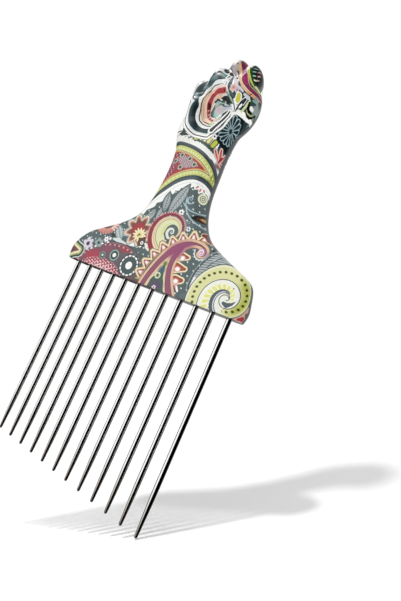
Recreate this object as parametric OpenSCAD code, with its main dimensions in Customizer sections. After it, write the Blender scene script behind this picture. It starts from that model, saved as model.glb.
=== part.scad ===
// Afro pick: a moulded handle that ends in a closed right fist, and a row of
// twelve round steel tines pressed into its straight bottom face.
// The origin is the middle of that face, X runs along the row of tines, Z up the
// handle, and the palm side of the fist faces -Y.

/* [Tines] */
// Distance from the axis of one tine to the next
tine_pitch = 6; // [5:0.1:7.5]
// Diameter of a tine
tine_d = 1.8; // [1.4:0.1:2.6]
// Free length of a tine below the handle
tine_free_l = 66; // [40:1:100]
// Length of the tapered end of a tine
taper_l = 16; // [6:1:30]
// Diameter of a tine at its rounded tip
tip_d = 1; // [0.7:0.1:1.3]
// Length of a tine's root inside the handle
root_l = 9; // [6:0.5:10]
// Number of grip grooves round a root
root_grooves = 3; // [1:1:4]
// Width of a grip groove
groove_w = 0.8; // [0.4:0.1:1.2]
// Depth of a grip groove
groove_deep = 0.2; // [0.1:0.05:0.3]
// Gap all round between a root and its bore
root_gap = 0.02; // [0.01:0.01:0.1]

/* [Shoulder plate] */
// Distance from an outer tine's axis to the end of the plate
plate_margin = 5; // [4:0.5:10]
// Thickness of the plate that holds the tines
plate_t = 8; // [6:0.5:10]

/* [Neck] */
// Width of the neck
neck_w = 19.2; // [14:0.2:24]
// Thickness of the neck
neck_t = 11.2; // [9:0.2:14]
// Height of the neck's narrowest place over the bottom face
neck_z = 43; // [36:1:60]
// How far the neck stands to the little finger's side of the row's middle
neck_lean = 1; // [0:0.1:3]

/* [Fist] */
// Height of the fist's centre over the neck's narrowest place
fist_rise = 25; // [20:1:35]
// Width of the fist
fist_w = 25; // [20:0.5:32]
// Thickness of the fist from its fingers to the back of the hand
fist_t = 17; // [13:0.2:22]
// Height of the palm's top over the fist's centre, about the middle knuckle's
fist_h = 17.6; // [14:0.2:24]
// Width of a folded finger
finger_w = 7; // [5:0.2:8]
// Thickness of the thumb
thumb_t = 7; // [5:0.2:9]

/* [Hidden] */

tine_count = 12;
row_w = (tine_count - 1)*tine_pitch;
plate_w = row_w + 2*plate_margin;
fist_z = neck_z + fist_rise;

// Corners round the skin; rings from one station to the next on the plate and
// neck and on the wrist; rings over the top of the fist
skin_sides = 60;
plate_rings = 2;
wrist_rings = 5;
dome_rings = 16;
// How sharply two lumps of the fist meet: a higher number makes a deeper crease
crease = 12;
// Steps in the rounded tip of a tine
tip_steps = 5;
// How far a bore's cutter runs past the face that it enters
overrun = 1;

// Plate and neck from the bottom face up. Each line gives the share of the
// neck's height, the share of the plate's flare over the neck's width, the
// share of that flare by which the middle stands to the index finger's side,
// where the shoulder is fuller, the share of the neck's lean and the share of
// the neck's extra thickness.
flare_shares = [
    [0.00, 0.975, 0.000, 0.0, 0.00],
    [0.07, 1.000, 0.000, 0.0, 0.00],
    [0.15, 0.975, 0.000, 0.0, 0.00],
    [0.22, 0.922, 0.026, 0.0, 0.00],
    [0.28, 0.842, 0.046, 0.0, 0.00],
    [0.34, 0.657, 0.037, 0.0, 0.03],
    [0.41, 0.427, 0.023, 0.0, 0.15],
    [0.49, 0.228, 0.005, 0.0, 0.38],
    [0.58, 0.120, 0.000, 0.1, 0.60],
    [0.70, 0.050, 0.000, 0.5, 0.80],
    [0.84, 0.010, 0.000, 0.8, 0.94],
    [1.00, 0.000, 0.000, 1.0, 1.00]];

// Wrist, from the neck up into the fist: the share of the fist's rise, of the
// neck's width, of its lean and of its thickness.
wrist_shares = [
    [0.28, 1.02, 1.6, 1.04],
    [0.56, 1.02, 1.4, 1.08],
    [0.80, 0.92, 1.2, 1.00],
    [1.00, 0.80, 0.9, 0.86]];

// Index, middle, ring and little finger: place across the fist as a share of
// half its width, height of its top as a share of the fist's height, and tilt
// in degrees.
finger_shares = [
    [ 0.62, 0.85, -8],
    [ 0.17, 0.95, -3],
    [-0.28, 0.77,  4],
    [-0.66, 0.47, 11]];

// The three lumps of a folded finger: knuckle on the back of the hand, middle
// joint on top, and end in the palm. Each line gives the share kept of the
// finger's place across, the depth as a share of half the fist's thickness, the
// drop below the finger's top as a share of the fist's height, then width,
// thickness and height as shares of the finger's width, the fist's thickness
// and the fist's height.
phalanx_shares = [
    [0.76,  0.34, 0.28, 1.00, 0.48, 0.56],
    [1.00, -0.30, 0.28, 1.00, 0.62, 0.54],
    [0.84, -0.50, 0.66, 0.94, 0.52, 0.74]];

// Palm, back of the hand, ball of the thumb, thumb joint and heel of the hand:
// place across, deep and up, then width, thickness and height, as shares of the
// fist's own sizes, and tilt in degrees.
hand_shares = [
    [-0.03,  0.06, -0.02, 0.93, 0.70, 1.80,   0],
    [-0.05,  0.30,  0.02, 0.82, 0.62, 1.66,   0],
    [ 0.68, -0.22, -0.12, 0.46, 0.66, 1.08, -14],
    [ 0.60, -0.50,  0.04, 0.36, 0.56, 0.60,  -4],
    [-0.50, -0.18, -0.62, 0.45, 0.70, 1.00,   0]];

// The two lumps of the thumb that cross the folded fingers, with their sizes as
// shares of the thumb's thickness.
thumb_shares = [
    [ 0.30, -0.84, 0.18, 1.80, 0.94, 0.98, -20],
    [-0.06, -0.86, 0.29, 1.06, 0.84, 0.90,  -8]];

function blend(a, b, share) = a + (b - a)*share;

// A station of the handle: [height, half width, middle, half thickness].
function plate_station(s) = [
    s[0]*neck_z,
    blend(neck_w, plate_w, s[1])/2,
    s[2]*(plate_w - neck_w)/2 - s[3]*neck_lean,
    blend(plate_t, neck_t, s[4])/2];
function wrist_station(s) = [
    neck_z + s[0]*fist_rise,
    s[1]*neck_w/2,
    -s[2]*neck_lean,
    s[3]*neck_t/2];
stations = concat([for (s = flare_shares) plate_station(s)],
                  [for (s = wrist_shares) wrist_station(s)]);
last_station = len(stations) - 1;

// A smooth curve through the stations. It passes through station i at t = i.
function curve_at(t) =
    let (i = min(floor(t), last_station - 1), u = t - i,
         a = stations[max(i - 1, 0)], b = stations[i],
         c = stations[i + 1], d = stations[min(i + 2, last_station)])
    (2*b + (c - a)*u + (2*a - 5*b + 4*c - d)*u*u + (3*b - a - 3*c + d)*u*u*u)/2;

// Distance from the middle of a flat bar with full-round edges to its surface,
// in the direction (cx, cy): half_w is the bar's half width, half_t its half
// thickness.
function bar_reach(half_w, half_t, cx, cy) =
    let (flat = half_w - half_t,
         to_face = half_t/max(abs(cy), 1e-6))
    to_face*abs(cx) <= flat
        ? to_face
        : flat*abs(cx) + sqrt(max(half_t*half_t - flat*flat*(1 - cx*cx), 0));

// The fist is a heap of egg-shaped lumps. A lump is its centre, its half sizes
// and its tilt about Y. Its shares are its place and its size in turn.
fist_size = [fist_w, fist_t, fist_h];
thumb_size = [thumb_t, thumb_t, thumb_t];
function in_fist(across, deep, up) = [
    across*fist_w/2 - neck_lean, deep*fist_t/2, up*fist_h + fist_z];
function lump(s, size) = [
    in_fist(s[0], s[1], s[2]),
    [s[3]*size[0], s[4]*size[1], s[5]*size[2]]/2,
    s[6]];
function phalanx(f, p) = [
    in_fist(f[0]*p[0], p[1], f[1] - p[2]),
    [p[3]*finger_w, p[4]*fist_t, p[5]*fist_h]/2,
    f[2]];
lumps = concat([for (s = hand_shares) lump(s, fist_size)],
               [for (s = thumb_shares) lump(s, thumb_size)],
               [for (f = finger_shares, p = phalanx_shares) phalanx(f, p)]);

// Distance from a point to where a ray leaves a lump, or 0 where it misses it.
function turned(v, tilt) = [
    v[0]*cos(tilt) + v[2]*sin(tilt), v[1], v[2]*cos(tilt) - v[0]*sin(tilt)];
function over(v, size) = [v[0]/size[0], v[1]/size[1], v[2]/size[2]];
function lump_reach(from, toward, l) =
    let (o = over(turned(from - l[0], l[2]), l[1]),
         d = over(turned(toward, l[2]), l[1]),
         a = d*d, b = o*d, under_root = b*b - a*(o*o - 1))
    under_root <= 0 ? 0 : max((sqrt(under_root) - b)/a, 0);

// The skin lies at the furthest lump in each direction, with soft creases.
function sum_of(v, i = 0) = i == len(v) ? 0 : v[i] + sum_of(v, i + 1);
function skin_reach(from, toward, least) =
    let (reaches = concat([least], [for (l = lumps) lump_reach(from, toward, l)]),
         far = max(reaches))
    far*pow(sum_of([for (r = reaches) pow(r/far, crease)]), 1/crease);

// Direction of corner j of a ring, spread as on an ellipse of the ring's size
function heading(j, half_w, half_t) =
    let (turn = 360*j/skin_sides, v = [half_w*cos(turn), -half_t*sin(turn)])
    v/norm(v);

// A level ring of the plate, neck or wrist at t along the curve
function body_ring(t) =
    let (s = curve_at(t), from = [s[2], 0, s[0]])
    [for (j = [0:skin_sides - 1])
        let (h = heading(j, s[1], s[3]), toward = [h[0], h[1], 0],
             bar = bar_reach(s[1], s[3], h[0], h[1]))
        from + toward*(s[0] > neck_z ? skin_reach(from, toward, bar) : bar)];

// A ring over the top of the fist, whose rays climb by the angle rise
function dome_ring(rise) =
    let (s = stations[last_station], from = [s[2], 0, s[0]])
    [for (j = [0:skin_sides - 1])
        let (h = heading(j, fist_w, fist_t),
             toward = [h[0]*cos(rise), h[1]*cos(rise), sin(rise)])
        from + toward*skin_reach(from, toward, 0)];

// Closes a stack of rings into one solid, with a flat bottom and a pole on top
module skin(rings, pole) {
    n = len(rings[0]);
    top = len(rings) - 1;
    sides = [for (k = [0:top - 1], j = [0:n - 1])
        let (a = k*n + j, b = k*n + (j + 1)%n)
        each [[a, b, a + n], [b, b + n, a + n]]];
    cap = [for (j = [0:n - 1]) [top*n + j, top*n + (j + 1)%n, (top + 1)*n]];
    floor_face = [[for (j = [n - 1:-1:0]) j]];
    polyhedron(points = concat([for (r = rings) each r], [pole]),
               faces = concat(floor_face, sides, cap));
}

module fist_handle_blank() {
    first_wrist = len(flare_shares) - 1;
    body = [
        for (i = [0:first_wrist*plate_rings]) body_ring(i/plate_rings),
        for (i = [1:len(wrist_shares)*wrist_rings]) body_ring(first_wrist + i/wrist_rings)];
    dome = [for (i = [1:dome_rings - 1]) dome_ring(90*i/dome_rings)];
    base = [stations[last_station][2], 0, fist_z];
    skin(concat(body, dome), base + [0, 0, skin_reach(base, [0, 0, 1], 0)]);
}

// Place of tine i along the row, counted from 1 at the little finger's side
function tine_x(i) = (i - 1)*tine_pitch - row_w/2;

module handle() {
    color("slategray")
        difference() {
            fist_handle_blank();
            for (i = [1:tine_count])
                translate([tine_x(i), 0, -overrun])
                    cylinder(d = tine_d + 2*root_gap, h = root_l + overrun, $fn = 48);
        }
}

// Half profile of a tine: root with its grooves, straight part, taper and tip
function groove_outline(z) = [
    [tine_d/2, z + groove_w/2],
    [tine_d/2 - groove_deep, z + groove_w/4],
    [tine_d/2 - groove_deep, z - groove_w/4],
    [tine_d/2, z - groove_w/2]];
function tine_outline() = concat(
    [[0, root_l], [tine_d/2 - groove_deep, root_l], [tine_d/2, root_l - groove_deep]],
    [for (g = [root_grooves:-1:1]) each groove_outline(g*root_l/(root_grooves + 1))],
    [[tine_d/2, taper_l - tine_free_l]],
    [for (k = [0:tip_steps])
        let (turn = 90*k/tip_steps)
        [tip_d/2*cos(turn), tip_d/2*(1 - sin(turn)) - tine_free_l]]);

module tine(i) {
    color("silver")
        translate([tine_x(i), 0, 0])
            rotate_extrude($fn = 48)
                polygon(tine_outline());
}

handle();
tine(1);  // tine_01
tine(2);  // tine_02
tine(3);  // tine_03
tine(4);  // tine_04
tine(5);  // tine_05
tine(6);  // tine_06
tine(7);  // tine_07
tine(8);  // tine_08
tine(9);  // tine_09
tine(10);  // tine_10
tine(11);  // tine_11
tine(12);  // tine_12
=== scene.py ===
# %% [markdown]
# # An afro pick in a paisley film
#
# The object is a hair pick: twelve round steel tines in one moulded handle,
# whose top is a closed fist. The whole handle is wrapped in a printed film.
# This lesson dresses the exact CAD model in three passes: steel for the tines,
# a smooth skin for the moulding, and then the print, which is drawn by
# formulas alone. The frame comes first, because every size is read from it.

# %% Load the frame and remember its size
import math
import bmesh
import bpy
import numpy as np
from mathutils import Matrix, Vector


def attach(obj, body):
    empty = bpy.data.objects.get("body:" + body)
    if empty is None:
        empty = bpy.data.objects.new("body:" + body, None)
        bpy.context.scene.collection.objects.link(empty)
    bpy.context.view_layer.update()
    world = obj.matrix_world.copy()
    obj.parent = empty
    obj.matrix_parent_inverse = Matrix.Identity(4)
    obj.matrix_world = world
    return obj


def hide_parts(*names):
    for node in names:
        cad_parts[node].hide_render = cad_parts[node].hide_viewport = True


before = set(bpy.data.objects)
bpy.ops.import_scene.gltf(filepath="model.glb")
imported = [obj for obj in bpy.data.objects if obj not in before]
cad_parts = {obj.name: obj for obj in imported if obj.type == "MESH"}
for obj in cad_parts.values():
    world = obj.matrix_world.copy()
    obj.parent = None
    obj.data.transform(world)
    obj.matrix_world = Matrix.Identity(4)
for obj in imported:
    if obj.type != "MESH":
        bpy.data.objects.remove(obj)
MM = 0.001
TURN = 2 * math.pi
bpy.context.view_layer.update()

# %% [markdown]
# The photograph was taken from close by with a wide lens, from a little below
# the handle and well to its right, and the pick leans in the frame.
# The lean is the camera's roll: the pick itself stands upright here, so that
# it stays easy to place on a shelf. The eye, the spot it looks at and the roll
# are the only free numbers of a camera, so they are written down as they are.

# %% Place the camera
EYE = Vector((82.58, -105.89, -10.07)) * MM
LOOKS_AT = Vector((21.49, 0.0, 2.19)) * MM
LEANS_BY = math.radians(23.81)
LENS_PIXELS, LONG_SIDE_PIXELS, SENSOR = 400, 601, 36.0

camera = bpy.data.objects.new("camera", bpy.data.cameras.new("camera"))
bpy.context.scene.collection.objects.link(camera)
camera.data.sensor_width = SENSOR
camera.data.lens = SENSOR * LENS_PIXELS / LONG_SIDE_PIXELS
camera.data.clip_start = 1 * MM
camera.data.clip_end = 20
aim = (LOOKS_AT - EYE).to_track_quat("-Z", "Y").to_matrix()
camera.matrix_world = (
    Matrix.Translation(EYE) @ (aim @ Matrix.Rotation(LEANS_BY, 3, "Z")).to_4x4()
)
bpy.context.scene.camera = camera
print("lens in mm:", round(camera.data.lens, 2))

# %% [markdown]
# The pick stands on white paper with its right tine only: in the photograph
# it leans well over to the right. The model itself stays upright, so here the
# paper leans by as much, and only its shadow tells. Product pictures of this
# kind have a pure white ground. A strong light would bring that, but it would
# bleach the print. It is better to leave the lamps at a plain level and to let
# the paper add the little that it lacks to be white where no shadow falls.

# %% Lay the paper
PAPER_UP = Vector((-0.502, -0.282, 0.817)).normalized()
PAPER_HEIGHT = -70.8 * MM
PAPER_LIFT = 0.05


def new_material(name):
    made = bpy.data.materials.new(name)
    made.use_nodes = True
    made.node_tree.nodes.clear()
    return made


def add(tree, kind, **settings):
    node = tree.nodes.new(kind)
    for key, value in settings.items():
        setattr(node, key, value)
    return node


floor_mesh = bmesh.new()
bmesh.ops.create_grid(floor_mesh, x_segments=1, y_segments=1, size=6)
bmesh.ops.transform(
    floor_mesh, verts=floor_mesh.verts,
    matrix=Matrix.Translation(PAPER_UP * PAPER_HEIGHT)
    @ PAPER_UP.to_track_quat("Z", "Y").to_matrix().to_4x4(),
)
floor_data = bpy.data.meshes.new("floor")
floor_mesh.to_mesh(floor_data)
floor_mesh.free()
floor = bpy.data.objects.new("floor", floor_data)
bpy.context.scene.collection.objects.link(floor)
tip = Vector((33, 0, -66)) * MM
print("right tip over the paper in mm:", round((tip.dot(PAPER_UP) - PAPER_HEIGHT) / MM, 2))

# %% [markdown]
# Reflections look through the paper at the room, which is painted below with
# the tones that the steel shows. Seen from beneath the paper isn't there, so
# that a camera low on the right still sees the pick.

# %% Make it white
paper = new_material("white_paper")
tree = paper.node_tree
matt = add(tree, "ShaderNodeBsdfDiffuse")
matt.inputs["Color"].default_value = (0.9, 0.9, 0.9, 1)
seen = add(tree, "ShaderNodeLightPath")
lift = add(tree, "ShaderNodeMath", operation="MULTIPLY")
tree.links.new(seen.outputs["Is Camera Ray"], lift.inputs[0])
lift.inputs[1].default_value = PAPER_LIFT
glow = add(tree, "ShaderNodeEmission")
tree.links.new(lift.outputs[0], glow.inputs["Strength"])
both = add(tree, "ShaderNodeAddShader")
tree.links.new(matt.outputs[0], both.inputs[0])
tree.links.new(glow.outputs[0], both.inputs[1])
side = add(tree, "ShaderNodeNewGeometry")
away = add(tree, "ShaderNodeMath", operation="MAXIMUM")
tree.links.new(seen.outputs["Is Glossy Ray"], away.inputs[0])
tree.links.new(side.outputs["Backfacing"], away.inputs[1])
through = add(tree, "ShaderNodeBsdfTransparent")
sheet = add(tree, "ShaderNodeMixShader")
tree.links.new(away.outputs[0], sheet.inputs["Fac"])
tree.links.new(both.outputs[0], sheet.inputs[1])
tree.links.new(through.outputs[0], sheet.inputs[2])
end = add(tree, "ShaderNodeOutputMaterial")
tree.links.new(sheet.outputs[0], end.inputs["Surface"])
floor_data.materials.append(paper)
print("paper nodes:", len(tree.nodes))

# %% [markdown]
# The light is soft and comes from all round, with one lamp high on the left.
# The lamp whitens the left flanks of the print, leaves the right edge grey and
# throws the shadow that runs off behind the tines to the right. Its size sets
# how soft that shadow grows with the distance from the paper.

# %% Light the set
AROUND = 0.75
LAMP = 1.4
LAMP_DEGREES = 4.5
LAMP_FROM = Vector((-0.581, -0.274, 0.766))

sun = bpy.data.objects.new("high_lamp", bpy.data.lights.new("high_lamp", "SUN"))
bpy.context.scene.collection.objects.link(sun)
sun.data.energy = LAMP
sun.data.angle = math.radians(LAMP_DEGREES)
sun.rotation_euler = LAMP_FROM.to_track_quat("Z", "Y").to_euler()
print("lamp height over the paper in degrees:", round(90 - math.degrees(LAMP_FROM.angle(PAPER_UP)), 1))

# %% [markdown]
# Polished steel has no colour of its own: it shows the room. The tines in the
# photograph are black down the middle, white on the left of that and grey on
# the right, with a fine dark line on the left edge: the camera stood in a dark
# place with a white wall on its left. The room here is a world shader that is
# white for the camera, plain grey for matt surfaces, and for reflections has
# these tones, set out by the bearing in which a reflected ray leaves.

# %% Hang the room round it
world = bpy.data.worlds.new("room")
world.use_nodes = True
bpy.context.scene.world = world
room = world.node_tree
room.nodes.clear()
path = add(room, "ShaderNodeLightPath")
where = add(room, "ShaderNodeTexCoord")
split = add(room, "ShaderNodeSeparateXYZ")
room.links.new(where.outputs["Generated"], split.inputs[0])
bearing = add(room, "ShaderNodeMath", operation="ARCTAN2")
room.links.new(split.outputs["Y"], bearing.inputs[0])
room.links.new(split.outputs["X"], bearing.inputs[1])
share = add(room, "ShaderNodeMapRange")
share.inputs["From Min"].default_value = -math.pi
share.inputs["From Max"].default_value = math.pi
room.links.new(bearing.outputs[0], share.inputs["Value"])
cards = add(room, "ShaderNodeValToRGB")
ROOM_TONES = (
    (0.000, 0.04), (0.048, 0.06), (0.064, 1.0), (0.222, 1.0), (0.234, 0.0),
    (0.590, 0.0), (0.620, 0.2), (0.690, 0.5), (0.760, 0.85), (0.845, 0.9),
    (0.862, 0.04),
)
ROOM_STRENGTH = 1.1
ramp = cards.color_ramp
while len(ramp.elements) > 1:
    ramp.elements.remove(ramp.elements[-1])
for step, (at, tone) in enumerate(ROOM_TONES):
    stop = ramp.elements[0] if step == 0 else ramp.elements.new(at)
    stop.position = at
    stop.color = (tone, tone, tone, 1)
room.links.new(share.outputs[0], cards.inputs["Fac"])


def sky(strength, colour=None):
    node = add(room, "ShaderNodeBackground")
    node.inputs["Strength"].default_value = strength
    if colour:
        room.links.new(colour, node.inputs["Color"])
    else:
        node.inputs["Color"].default_value = (1, 1, 1, 1)
    return node


def choose(test, first, second):
    node = add(room, "ShaderNodeMixShader")
    room.links.new(test, node.inputs["Fac"])
    room.links.new(first.outputs[0], node.inputs[1])
    room.links.new(second.outputs[0], node.inputs[2])
    return node


mirrored = sky(ROOM_STRENGTH, cards.outputs["Color"])
shown = choose(path.outputs["Is Glossy Ray"], sky(AROUND), mirrored)
shown = choose(path.outputs["Is Camera Ray"], shown, sky(1.0))
outside = add(room, "ShaderNodeOutputWorld")
room.links.new(shown.outputs[0], outside.inputs["Surface"])
bpy.context.scene.view_settings.view_transform = "Standard"
print("room tones:", len(ROOM_TONES))

# %% [markdown]
# A tine is a straight steel pin. It is drawn to a blunt point over its last
# quarter and pressed nine millimetres deep into the handle, where grooves hold
# it. The CAD pin has few sides. A spin of its outline gives a round one, and
# the outline is the pin's lathe drawing: radius and height, from the root down.

# %% Turn the tines
PITCH = 6 * MM
ROUND = 40
PIN, TIP = 0.9 * MM, 0.5 * MM
FREE, TAPER, ROOT = 66 * MM, 16 * MM, 9 * MM


def tine_outline():
    """(radius, height) pairs from the root's end to the tip."""
    yield 0, ROOT
    yield PIN - 0.15 * MM, ROOT
    yield PIN, ROOT - 0.15 * MM
    for groove in (6.6, 4.4, 2.2):
        for radius, height in ((PIN, 0.4), (PIN - 0.2 * MM, 0.2), (PIN - 0.2 * MM, -0.2), (PIN, -0.4)):
            yield radius, (groove + height) * MM
    yield PIN, 0
    yield PIN, -0.5 * (FREE - TAPER)
    for step in range(9):
        share = step / 8
        ease = share * share * (1.6 - 0.6 * share)
        yield PIN + (TIP - PIN) * ease, -(FREE - TAPER) - share * (TAPER - TIP)
    for step in range(1, 6):
        angle = step / 5 * math.pi / 2
        yield TIP * math.cos(angle), -FREE + TIP * (1 - math.sin(angle))


def turn_tine(number):
    x = (number - 6.5) * PITCH
    lathe = bmesh.new()
    points = [lathe.verts.new((x + radius, 0, height)) for radius, height in tine_outline()]
    for a, b in zip(points, points[1:]):
        lathe.edges.new((a, b))
    bmesh.ops.spin(
        lathe, geom=lathe.verts[:] + lathe.edges[:], cent=(x, 0, 0), axis=(0, 0, 1),
        angle=TURN, steps=ROUND, use_merge=True,
    )
    bmesh.ops.remove_doubles(lathe, verts=lathe.verts, dist=1e-7)
    bmesh.ops.recalc_face_normals(lathe, faces=lathe.faces)
    data = bpy.data.meshes.new(f"pin_{number:02d}")
    lathe.to_mesh(data)
    lathe.free()
    data.shade_smooth()
    pin = bpy.data.objects.new(f"pin_{number:02d}", data)
    bpy.context.scene.collection.objects.link(pin)
    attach(pin, "root")
    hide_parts(f"tine_{number:02d}")
    return pin


pins = [turn_tine(number) for number in range(1, 13)]
print("tines:", len(pins), "faces in each:", len(pins[0].data.polygons))

# %% [markdown]
# The steel is bright but not a perfect mirror. It was drawn through a die, so
# fine lines run down it, and handling has left a faint haze in patches. The
# lines are a noise that is stretched along the pin; they tilt the surface a
# little and are too fine to be seen one by one. The taper's colour is painted
# darker than the shank's, a painted dark reflection for the darker look of the
# tips, so the colour goes from one to the other by the height on the pin.

# %% Polish the steel
# Painted reflection: the tip colour darkens the taper, standing in for the dark look of the tips.
PAINTED_TIP_SHADE = (0.26, 0.22, 0.19, 1)
BRIGHT_SHANK = (0.93, 0.92, 0.905, 1)
steel = new_material("drawn_steel")
tree = steel.node_tree
metal = add(tree, "ShaderNodeBsdfPrincipled")
metal.inputs["Metallic"].default_value = 1.0
place = add(tree, "ShaderNodeTexCoord")
height = add(tree, "ShaderNodeSeparateXYZ")
tree.links.new(place.outputs["Object"], height.inputs[0])
tip_shade_fade = add(tree, "ShaderNodeMapRange")
tip_shade_fade.inputs["From Min"].default_value = -FREE
tip_shade_fade.inputs["From Max"].default_value = -(FREE - TAPER)
tree.links.new(height.outputs["Z"], tip_shade_fade.inputs["Value"])
tone = add(tree, "ShaderNodeMix", data_type="RGBA")
tone.inputs["A"].default_value = PAINTED_TIP_SHADE
tone.inputs["B"].default_value = BRIGHT_SHANK
tree.links.new(tip_shade_fade.outputs[0], tone.inputs["Factor"])
tree.links.new(tone.outputs["Result"], metal.inputs["Base Color"])
stretch = add(tree, "ShaderNodeMapping")
stretch.inputs["Scale"].default_value = (4000, 4000, 30)
tree.links.new(place.outputs["Object"], stretch.inputs["Vector"])
lines = add(tree, "ShaderNodeTexNoise")
lines.inputs["Scale"].default_value = 1.0
lines.inputs["Detail"].default_value = 3.0
tree.links.new(stretch.outputs[0], lines.inputs["Vector"])
haze = add(tree, "ShaderNodeTexNoise")
haze.inputs["Scale"].default_value = 160
haze.inputs["Detail"].default_value = 2.0
tree.links.new(place.outputs["Object"], haze.inputs["Vector"])
gloss = add(tree, "ShaderNodeMapRange")
gloss.inputs["To Min"].default_value = 0.05
gloss.inputs["To Max"].default_value = 0.13
tree.links.new(haze.outputs["Fac"], gloss.inputs["Value"])
tree.links.new(gloss.outputs[0], metal.inputs["Roughness"])
bump = add(tree, "ShaderNodeBump")
bump.inputs["Strength"].default_value = 0.12
bump.inputs["Distance"].default_value = 0.02 * MM
tree.links.new(lines.outputs["Fac"], bump.inputs["Height"])
tree.links.new(bump.outputs[0], metal.inputs["Normal"])
end = add(tree, "ShaderNodeOutputMaterial")
tree.links.new(metal.outputs[0], end.inputs["Surface"])
for pin in pins:
    pin.data.materials.append(steel)
print("steel on", len(pins), "tines")

# %% [markdown]
# The handle is one moulding. Its CAD skin is a net of rings, sixty corners in
# each, which is exact but shows its facets under a gloss. Modelling it again
# would risk a second shape; a copy of the CAD mesh keeps the first. The copy
# loses the bores and the flat bottom, and its pairs of triangles become quads,
# because a subdivision surface only rounds a net of quads evenly.

# %% Copy the moulding's skin
net = bmesh.new()
net.from_mesh(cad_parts["handle"].data)
bmesh.ops.remove_doubles(net, verts=net.verts, dist=2e-6)
BORE_REACH = Vector((34.5, 1.2, 10.5)) * MM


def in_bore(vert):
    return (
        abs(vert.co.x) < BORE_REACH.x and abs(vert.co.y) < BORE_REACH.y
        and vert.co.z < BORE_REACH.z
    )


gone = [
    face for face in net.faces
    if any(in_bore(vert) for vert in face.verts)
    or all(vert.co.z < 1e-6 for vert in face.verts)
]
bmesh.ops.delete(net, geom=gone, context="FACES")
loose = [vert for vert in net.verts if not vert.link_faces]
bmesh.ops.delete(net, geom=loose, context="VERTS")
bmesh.ops.join_triangles(
    net, faces=net.faces, angle_face_threshold=0.6, angle_shape_threshold=1.2
)
print("skin faces:", len(net.faces))

# %% [markdown]
# The print needs to know where each vertex of the finished skin is, so the
# rounding can't stay a live modifier. It is worked out on a helper object, and
# its result becomes the new mesh. The open rim at the bottom is then filled
# with one face, and a small bevel rounds the corner as on the real moulding.

# %% Round it and close the bottom
LIP = 0.35 * MM
rough = bpy.data.meshes.new("rough_skin")
net.to_mesh(rough)
net.free()
carrier = bpy.data.objects.new("rough_skin", rough)
bpy.context.scene.collection.objects.link(carrier)
smoother = carrier.modifiers.new("smoother", "SUBSURF")
smoother.levels = smoother.render_levels = 2
ready = carrier.evaluated_get(bpy.context.evaluated_depsgraph_get())
skin = bmesh.new()
skin.from_mesh(bpy.data.meshes.new_from_object(ready))
bpy.data.objects.remove(carrier)

rim = [edge for edge in skin.edges if len(edge.link_faces) == 1]
floor_face = bmesh.ops.contextual_create(skin, geom=rim)["faces"]
bmesh.ops.recalc_face_normals(skin, faces=skin.faces)
bmesh.ops.bevel(
    skin, geom=list({edge for face in floor_face for edge in face.edges}), offset=LIP,
    offset_type="OFFSET", segments=3, profile=0.5, affect="EDGES", material=-1,
    clamp_overlap=True,
)
handle_data = bpy.data.meshes.new("printed_handle")
skin.to_mesh(handle_data)
skin.free()
handle_data.shade_smooth()
handle = bpy.data.objects.new("printed_handle", handle_data)
bpy.context.scene.collection.objects.link(handle)
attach(handle, "root")
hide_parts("handle")
print("handle vertices:", len(handle_data.vertices), "faces:", len(handle_data.polygons))

# %% [markdown]
# The film goes round the moulding like a sleeve, in a front and a back half
# that meet in a grey seam along the sides. A pattern that is simply projected
# from the front would smear on those sides. So every point of the skin gets
# its place on the flat film: how far it is across and up, in millimetres, when
# the film is peeled off. Where the skin turns away to the side, the arc is
# longer than its shadow by the radius times the angle less its sine.
#
# A stretched film bridges the grooves between the fingers. On the fist the
# direction of the skin is therefore averaged over its neighbours many times,
# which a pass over the mesh's edges does, before its place is worked out.

# %% Average the skin's direction over the grooves
SLACK_PASSES = 140
total = len(handle_data.vertices)
spots = np.empty(total * 3)
handle_data.vertices.foreach_get("co", spots)
spots = spots.reshape(-1, 3) / MM
facing = np.empty(total * 3)
handle_data.vertex_normals.foreach_get("vector", facing)
facing = facing.reshape(-1, 3)
ends = np.empty(len(handle_data.edges) * 2, int)
handle_data.edges.foreach_get("vertices", ends)
one_end, other_end = ends[0::2], ends[1::2]
neighbours = np.bincount(one_end, minlength=total) + np.bincount(other_end, minlength=total)
slack = facing.copy()
for _ in range(SLACK_PASSES):
    for axis in range(3):
        pull = slack[:, axis]
        near = np.bincount(one_end, pull[other_end], total) + np.bincount(other_end, pull[one_end], total)
        slack[:, axis] = (pull + near) / (1 + neighbours)
    slack /= np.linalg.norm(slack, axis=1)[:, None]
off_skin = np.linalg.norm(slack - facing, axis=1)
print("mean turn of the film off the skin:", round(float(np.mean(off_skin)), 3))

# %% [markdown]
# Now the place itself. Across, it is x and the part of the arc that the view
# from the front hides; the radius of the side is half the depth at that height.
# Over the crown of the fist the film also turns towards the top, so there the
# same is done upwards. The back counts across from its own left. The place is
# kept as an attribute of the mesh, which the material reads, and its third
# number is the depth, by which the seam is found.

# %% Give every point its place on the film
FIST_FROM, FIST_TO = 50.0, 62.0
CROWN_FROM, CROWN_TO = 60.0, 72.0
LEAST_BEND = 8.0


def smooth_step(low, high, value):
    share = np.clip((value - low) / (high - low), 0.0, 1.0)
    return share * share * (3 - 2 * share)


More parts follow.
